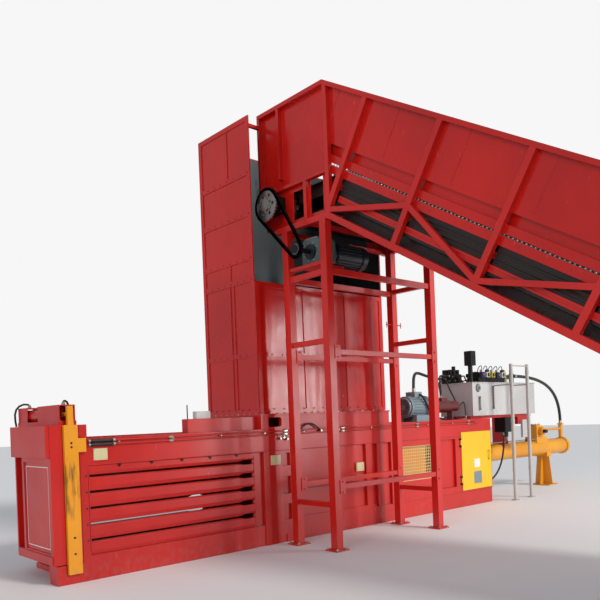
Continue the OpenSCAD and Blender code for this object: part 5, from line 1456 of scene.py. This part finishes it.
@dataclass
class Tank(Assembly):
    """Oil tank: cover, lid screws, gauges and breather.

    Attributes:
        front_y: Y of the front sheet.
        lid_z: Z of the lid.
        cover: X and Z of the inspection cover's centre.
        gauges: X, lowest and highest Z of each level gauge's guard.
    """

    front_y: float = -0.5
    lid_z: float = 2.07
    cover: Pair = (7.22, 1.97)
    gauges: tuple[Point, ...] = ((7.24, 1.59, 1.82), (7.665, 1.60, 2.00))

    def inspection_cover(self) -> None:
        """Builds the gasket and the boss of the inspection cover."""
        x, z = self.cover
        profile = [(0, 0.069), (0.003, 0.071), (0.006, 0.069)]
        gasket = Shape().lathe((x, self.front_y + 0.0005, z), NEAR, profile, 40)
        gasket.piece("cover_gasket", Finish.BLACK_PLASTIC)
        boss = [(0, 0.061), (0.002, 0.062), (0.003, 0.04), (0.0085, 0.04), (0.0095, 0.036), (0.0095, 0.012),
                (0.022, 0.012), (0.024, 0.010)]
        Shape().lathe((x, self.front_y - 0.0145, z), NEAR, boss, 40).piece("cover_boss", Finish.GEARBOX)

    def level_gauges(self) -> None:
        """Builds the gauges' glasses and guards."""
        glass, guards = Shape(), Shape()
        for x, low, high in self.gauges:
            glass.rod((x, -0.518, low + 0.02), (x, -0.518, high - 0.02), 0.0085, 16)
            for z in (low, high - 0.022):
                guards.box((x - 0.016, -0.532, z), (x + 0.016, -0.515, z + 0.022), 0.003)
            for edge in (x - 0.014, x + 0.010):
                guards.box((edge, -0.528, low + 0.02), (edge + 0.004, -0.516, high - 0.02))
        glass.piece("level_gauge_glass", Finish.GAUGE_GLASS)
        guards.piece("level_gauge_guards", Finish.BLACK_PLASTIC)

    def build(self) -> None:
        """Builds its pieces."""
        x, z = self.cover
        self.fasteners.circle((x, self.front_y - 0.014, z), NEAR, 0.053, 8, 0.006)
        self.fasteners.row((7.08, -0.485, self.lid_z), (9.08, -0.485, self.lid_z), 18, UP, 0.007)
        self.fasteners.row((7.055, -0.45, self.lid_z), (7.055, 0.13, self.lid_z), 6, UP, 0.007)
        self.inspection_cover()
        self.level_gauges()
        cap = [(0, 0.077), (0.004, 0.08), (0.03, 0.08), (0.034, 0.077), (0.04, 0.077), (0.044, 0.08),
               (0.07, 0.08), (0.086, 0.06)]
        Shape().lathe((8.95, 0.03, 2.175), UP, cap, 32).piece("breather_cap", Finish.BLACK_PLASTIC)
        self.fasteners.weld((7.052, self.front_y, 1.495), (7.052, 0.17, 1.495), Finish.WHITE)


@dataclass
class Valves(Assembly):
    """Solenoid valves on the manifold, with their cables and covers, and the lines at the manifold's end.

    Attributes:
        first_x: X of the first valve.
        pitch: pitch of the valves.
        colours: finish of each valve's coil and connector.
        ports: X and Z of the ports on the manifold's end.
    """

    first_x: float = 7.37
    pitch: float = 0.16
    colours: tuple[tuple[Finish, Finish], ...] = (
        (Finish.VALVE_BLUE, Finish.WHITE_PLASTIC), (Finish.WHITE_PLASTIC, Finish.BLACK_PLASTIC),
        (Finish.YELLOW_PLASTIC, Finish.WHITE_PLASTIC), (Finish.VALVE_BLUE, Finish.WHITE_PLASTIC),
        (Finish.WHITE_PLASTIC, Finish.BLACK_PLASTIC))
    ports: tuple[Pair, ...] = ((7.12, 2.18), (7.20, 2.12), (7.28, 2.19), (7.34, 2.11))

    def valve(self, number: int, x: float, coil_finish: Finish, plug_finish: Finish) -> None:
        """Builds one valve's coil, connector, cable, cover and nut.

        Args:
            number: its number, from 1.
            x: X of its middle.
            coil_finish: finish of the coil.
            plug_finish: finish of the connector.
        """
        coil = Shape().box((x - 0.046, -0.526, 2.156), (x + 0.046, -0.462, 2.248), 0.008)
        coil.piece(f"valve_coil_{number}", coil_finish)
        plug = Shape().box((x - 0.030, -0.520, 2.248), (x + 0.030, -0.466, 2.292), 0.006)
        plug.rod((x, -0.493, 2.291), (x, -0.493, 2.306), 0.011, 12)
        plug.piece(f"valve_connector_{number}", plug_finish)
        bend = ((0, -0.493, 2.300), (0, -0.492, 2.325), (0.012, -0.478, 2.350), (0.032, -0.45, 2.362),
                (0.055, -0.41, 2.350), (0.070, -0.37, 2.31), (0.078, -0.345, 2.25), (0.080, -0.34, 2.16))
        cable = Shape().tube([(x + dx, y, z) for dx, y, z in bend], 0.0065, 10)
        cable.piece(f"valve_cable_{number}", Finish.CABLE)
        cover = Shape().box((x - 0.045, -0.40, 2.246), (x + 0.045, -0.29, 2.258), 0.003)
        cover.piece(f"valve_cover_{number}", Finish.VALVE_BLUE)
        for y in (-0.385, -0.305):
            self.fasteners.row((x - 0.032, y, 2.258), (x + 0.032, y, 2.258), 2, UP, 0.006)
        nut = Shape().fitting((x, -0.5295, 2.202), NEAR, (0.010, 0.017), (0.018, 0.009))
        nut.piece(f"coil_nut_{number}", Finish.ZINC, smooth=25)

    def lines(self) -> None:
        """Builds the thin pilot pipe bent over the bank, and the ports and hoses on the manifold's end."""
        bend = ((8.22, 2.075), (8.22, 2.20), (8.225, 2.26), (8.25, 2.30), (8.29, 2.315),
                (8.33, 2.30), (8.355, 2.26), (8.36, 2.20), (8.36, 2.075))
        Shape().tube([(x, -0.35, z) for x, z in bend], 0.009).piece("pilot_pipe", Finish.YELLOW_PLASTIC)
        ports, lines = Shape(), Shape()
        for k, (x, z) in enumerate(self.ports):
            ports.fitting((x, -0.05, z), NEAR, (0.016, 0.02), (0.03, 0.014))
            low_y = -0.25 - 0.01 * k
            path = [(x, -0.075, z), (x, -0.12, z), (x - 0.01, -0.17, z + 0.01), (x - 0.03, -0.21, z),
                    (x - 0.05, -0.24, z - 0.04), (x - 0.05, low_y, z - 0.08), (x - 0.045, low_y, 2.075)]
            lines.tube(path, 0.012)
        ports.piece("manifold_ports", Finish.ZINC, smooth=25)
        lines.piece("manifold_lines", Finish.HOSE)

    def build(self) -> None:
        """Builds its pieces."""
        for k, (coil_finish, plug_finish) in enumerate(self.colours):
            self.valve(k + 1, self.first_x + self.pitch * k, coil_finish, plug_finish)
        self.lines()


@dataclass
class PumpSet(Assembly):
    """Pump motor and pump: cowl, grille, glands, bolts, cable and lines.

    Attributes:
        axis: Y and Z of the motor's axis.
        cowl_x: X where the fan's cowl starts.
        grille: radii of the grille's rings.
        lines: start, two points that bend it, end and radius of each line from the pump to the manifold.
    """

    axis: Pair = (-0.32, 1.67)
    cowl_x: float = 5.50
    grille: tuple[float, ...] = (0.055, 0.075, 0.095, 0.115)
    lines: tuple[tuple[Point, Point, Point, Point, float], ...] = (
        ((6.36, -0.35, 1.81), (6.36, -0.36, 2.25), (6.70, -0.02, 2.20), (7.07, -0.02, 2.20), 0.017),
        ((6.43, -0.29, 1.81), (6.43, -0.29, 2.08), (6.72, 0.03, 2.11), (7.07, 0.03, 2.11), 0.015),
        ((6.80, -0.29, 1.70), (6.98, -0.29, 1.70), (6.84, -0.03, 2.12), (7.07, -0.03, 2.12), 0.013),
        ((6.80, -0.35, 1.66), (6.95, -0.35, 1.66), (6.93, -0.42, 1.90), (6.93, -0.43, 1.463), 0.012))

    def fan_end(self) -> None:
        """Builds the cowl and the grille of rings and spokes on it."""
        y, z = self.axis
        cowl = [(0, 0.147), (0.002, 0.15), (0.075, 0.15), (0.09, 0.14), (0.092, 0.06), (0.088, 0.05)]
        Shape().lathe((self.cowl_x, y, z), FRONT, cowl, 40).piece("pump_motor_cowl", Finish.MOTOR_BLUE)
        grille, x = Shape(), self.cowl_x - 0.0945
        for radius in self.grille:
            grille.tube(ring_path((x, y, z), radius, 32), 0.003, 6)
        for inner, outer in zip(ring_path((x, y, z), 0.05, 6)[:-1], ring_path((x, y, z), 0.13, 6)):
            grille.rod(inner, outer, 0.003, 6)
        grille.piece("pump_motor_grille", Finish.OILED)

    def terminals(self) -> None:
        """Builds the terminal box's screws and glands, the supply cable and the eye bolt."""
        for y in (-0.355, -0.285):
            self.fasteners.row((5.615, y, 1.91), (5.765, y, 1.91), 2, UP, 0.006)
        glands = Shape()
        for x in (5.64, 5.72):
            glands.fitting((x, -0.365, 1.865), NEAR, (0.012, 0.016), (0.03, 0.012))
        glands.piece("motor_glands", Finish.BLACK_PLASTIC, smooth=25)
        supply = [(5.72, -0.38, 1.865), (5.72, -0.42, 1.862), (5.725, -0.47, 1.83), (5.74, -0.50, 1.77),
                  (5.78, -0.51, 1.69), (5.85, -0.505, 1.60), (5.95, -0.50, 1.53), (6.10, -0.495, 1.475),
                  (6.28, -0.49, 1.46)]
        Shape().tube(supply, 0.018).piece("motor_supply_cable", Finish.CABLE)
        eye = Shape().tube(ring_path((5.84, self.axis[0], 1.845), 0.024, 20), 0.006, 8)
        eye.piece("motor_eye_bolt", Finish.OILED)

    def pump_lines(self) -> None:
        """Builds the lines from the pump's port block and nose to the manifold, with their nuts."""
        lines, nuts = Shape(), Shape()
        for *controls, radius in self.lines:
            path = hose_route(controls, 28)
            lines.tube(path, radius)
            for end, axis in hose_ends(path):
                nuts.fitting(end, axis, (0.018, radius * 1.5), (0.04, radius * 1.25))
        lines.piece("pump_lines", Finish.HOSE, smooth=60)
        nuts.piece("pump_line_nuts", Finish.ZINC, smooth=25)

    def build(self) -> None:
        """Builds its pieces."""
        self.fan_end()
        self.fasteners.circle((5.92, *self.axis), REAR, 0.125, 8, 0.010)
        self.terminals()
        self.pump_lines()


@dataclass
class MainCylinder(Assembly):
    """Main cylinder: flange bolts, pilot pipe, prefill solenoid and riser ring, and the conduits beside it.

    Attributes:
        axis_z: Z of the cylinder's axis.
        prefill_x: X of the prefill valve.
        riser: X and Z of the riser's top.
        conduit_xs: X of both conduits beside the tank.
    """

    axis_z: float = 0.775
    prefill_x: float = 9.97
    riser: Pair = (11.04, 1.245)
    conduit_xs: Pair = (7.73, 8.26)

    def conduits(self) -> None:
        """Builds the conduits' coupling bands and base bolts."""
        bands = Shape()
        for x in self.conduit_xs:
            for z in (0.5, 1.35, 2.2):
                bands.lathe((x, -0.84, z), UP, [(0, 0.0305), (0.002, 0.034), (0.06, 0.034), (0.062, 0.0305)])
            self.fasteners.circle((x, -0.84, 0.010), UP, 0.052, 4, 0.007)
        bands.piece("conduit_couplings", Finish.CONDUIT)

    def build(self) -> None:
        """Builds its pieces."""
        self.fasteners.circle((7.48, 0, self.axis_z), REAR, 0.205, 12, 0.016, Finish.OILED)
        self.fasteners.circle((11.14, 0, self.axis_z), REAR, 0.12, 12, 0.014, Finish.OILED)
        x = self.prefill_x
        self.fasteners.circle((x, 0, 1.255), UP, 0.086, 8, 0.012)
        coil = Shape().box((x - 0.04, -0.262, 1.085), (x + 0.04, -0.19, 1.145), 0.006)
        coil.rod((x, -0.19, 1.115), (x, -0.255, 1.115), 0.036, 24)
        coil.piece("prefill_solenoid", Finish.BLACK_PLASTIC)
        pipe = [(7.62, -0.10, 0.93), (7.62, -0.115, 0.955), (7.66, -0.12, 0.965), (8.6, -0.12, 0.965),
                (9.7, -0.12, 0.965), (9.79, -0.118, 0.968)]
        Shape().tube(pipe, 0.011).piece("cylinder_pilot_pipe", Finish.ZINC)
        clips = Shape()
        for x in (8.0, 8.7, 9.4):
            clips.box((x - 0.015, -0.138, 0.935), (x + 0.015, -0.10, 0.982), 0.003)
        clips.piece("cylinder_pipe_clips", Finish.OILED)
        x, z = self.riser
        ring = [(0, 0.064), (0.004, 0.068), (0.022, 0.068), (0.026, 0.064)]
        Shape().lathe((x, 0, z - 0.026), UP, ring).piece("riser_flange_ring", Finish.ORANGE)
        self.conduits()


@dataclass
class AccessDoor(Assembly):
    """Access door of the rear section: sheet, plate, hinge screws and the weld of its catch.

    Attributes:
        face_y: Y of the door's outer face.
    """

    face_y: float = -0.614

    def build(self) -> None:
        """Builds its pieces."""
        y = self.face_y
        sheet = Shape().box((6.86, y - 0.0015, 0.63), (7.02, y + 0.001, 0.77))
        sheet.piece("door_sheet", Finish.PAPER, Body.ACCESS_DOOR)
        plate = Shape().box((6.84, y - 0.003, 0.36), (7.06, y + 0.001, 0.56), 0.001)
        plate.piece("door_plate", Finish.MOTOR_BLUE, Body.ACCESS_DOOR)
        for z in (0.545, 0.375):
            for x in (6.855, 7.045):
                self.fasteners.bolt((x, y - 0.003, z), NEAR, 0.004, body=Body.ACCESS_DOOR)
        for low, high in ((0.33, 0.43), (1.07, 1.17)):
            self.fasteners.row((6.54, y, low), (6.54, y, high), 3, NEAR, 0.006, body=Body.ACCESS_DOOR)
        self.fasteners.weld((7.29, y - 0.001, 0.728), (7.29, y - 0.001, 0.742),
                            Finish.YELLOW, Body.ACCESS_DOOR)


@dataclass(frozen=True)
class Lamp:
    """A sun or an area light.

    Attributes:
        name: its name.
        place: where it stands.
        aim: the point that it faces.
        energy: its strength.
        size: the sun's angle in degrees, or the area's width and height in metres.
        colour: linear RGB.
    """

    name: str
    place: Point
    aim: Point
    energy: float
    size: float | Pair
    colour: Point = (1, 1, 1)

    def build(self) -> None:
        """Builds the light."""
        sun = not isinstance(self.size, tuple)
        data = bpy.data.lights.new(self.name, "SUN" if sun else "AREA")
        data.energy, data.color = self.energy, self.colour
        if sun:
            data.angle = math.radians(self.size)
        else:
            data.shape = "RECTANGLE"
            data.size, data.size_y = self.size
        light = new_object(self.name, data)
        light.location = self.place
        light.rotation_euler = (Vector(self.aim) - Vector(self.place)).to_track_quat("-Z", "Y").to_euler()


@dataclass(frozen=True)
class Stage:
    """The pale floor, the soft world and the lights.

    Attributes:
        reach: distance from the centre to the floor's edges.
        floor_z: Z of the floor, just under the feet.
        lamps: the lights.
    """

    reach: float = 60
    floor_z: float = -0.001
    lamps: tuple[Lamp, ...] = (
        Lamp("key_sun", (6, -14, 11), (2, 0, 1), 1.5, 12.0, (1.0, 0.975, 0.94)),
        Lamp("fill_sun", (-14, -6, 6), (2, 0, 1.5), 0.75, 30.0, (0.96, 0.98, 1.0)),
        Lamp("strip_window", (12.5, -11.5, 4.0), (3.5, -0.6, 2.4), 400.0, (0.8, 7.0)),
        Lamp("strip_window_2", (10.2, -12.8, 4.0), (3.2, -0.6, 2.4), 240.0, (0.4, 7.0)),
    )

    def build_floor(self) -> None:
        """Builds the floor, with matt pale paint."""
        floor = bpy.data.meshes.new("studio_floor")
        signs = ((-1, -1), (1, -1), (1, 1), (-1, 1))
        corners = [(self.reach * a, self.reach * b, self.floor_z) for a, b in signs]
        floor.from_pydata(corners, [], [(0, 1, 2, 3)])
        plane = new_object("studio_floor", floor)
        s = Shader("studio_floor_paint")
        floor.materials.append(s.close({"Base Color": linear("#E9E9E9"), "Roughness": 0.75}))
        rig.stage(plane)

    @staticmethod
    def build_world() -> None:
        """Builds the world: soft light on the machine, and a pale ground for the camera."""
        world = bpy.data.worlds.new("studio_world")
        bpy.context.scene.world = world
        world.use_nodes = True
        tree = world.node_tree
        tree.nodes.clear()
        soft = add(tree, "ShaderNodeBackground", None, {"Color": (0.9, 0.93, 1.0, 1), "Strength": 0.45})
        seen = add(tree, "ShaderNodeBackground", None, {"Color": (0.93, 0.93, 0.93, 1), "Strength": 1.0})
        path = add(tree, "ShaderNodeLightPath")
        mixed = add(tree, "ShaderNodeMixShader", None,
                    {0: path.outputs["Is Camera Ray"], 1: soft, 2: seen})
        add(tree, "ShaderNodeOutputWorld", None, {"Surface": mixed})

    def build(self) -> None:
        """Builds the stage."""
        self.build_floor()
        self.build_world()
        for lamp in self.lamps:
            lamp.build()


@dataclass(frozen=True)
class Camera:
    """The camera, where the photograph was taken from.

    Attributes:
        place: its place.
        heading: its heading from +Y towards +X, in radians.
        roll: its roll, in radians.
        focal: focal length, in pixels of the photograph.
        axis_row: row where the lens axis meets the photograph, in pixels.
        picture: width and height of the photograph, in pixels.
        sensor: width of the sensor, in millimetres.
    """

    place: Point = (-2.895, -7.169, 1.549)
    heading: float = 0.7302
    roll: float = -0.0387
    focal: float = 679.19
    axis_row: float = 419.17
    picture: float = 600
    sensor: float = 36

    def build(self) -> None:
        """Builds the camera."""
        ahead = Vector((math.sin(self.heading), math.cos(self.heading), 0))
        level = Vector((math.cos(self.heading), -math.sin(self.heading), 0))
        up = Vector(UP)
        right = level * math.cos(self.roll) + up * math.sin(self.roll)
        top = up * math.cos(self.roll) - level * math.sin(self.roll)
        data = bpy.data.cameras.new("photo_camera")
        data.sensor_width = self.sensor
        data.lens = self.focal / self.picture * self.sensor
        data.shift_y = (self.axis_row - self.picture / 2) / self.picture
        data.clip_end = 200
        camera = new_object("photo_camera", data)
        turn = Matrix((right, top, -ahead)).transposed()
        camera.matrix_world = Matrix.Translation(self.place) @ turn.to_4x4()
        bpy.context.scene.camera = camera


def main() -> None:
    """Dresses the model and sets the stage."""
    logging.basicConfig(level=logging.INFO, format="%(name)s: %(message)s")
    bpy.context.scene.view_settings.view_transform = "Standard"
    dress_nodes()
    fasteners = Fasteners()
    for assembly in (Chamber, Door, Hopper, Conveyor, Drive, Hoses, Tank, Valves, PumpSet, MainCylinder,
                     AccessDoor):
        assembly(fasteners).build()
    fasteners.build()
    Stage().build()
    Camera().build()
    low_high = {"cad": [list(map(float, corner)) for corner in CAD_BOX],
                "dressed": [list(map(float, corner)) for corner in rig.bounds()]}
    with open("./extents.json", "w") as out:
        json.dump(low_high, out)
    log.info("boxes %s", low_high)


if __name__ == "__main__":
    main()
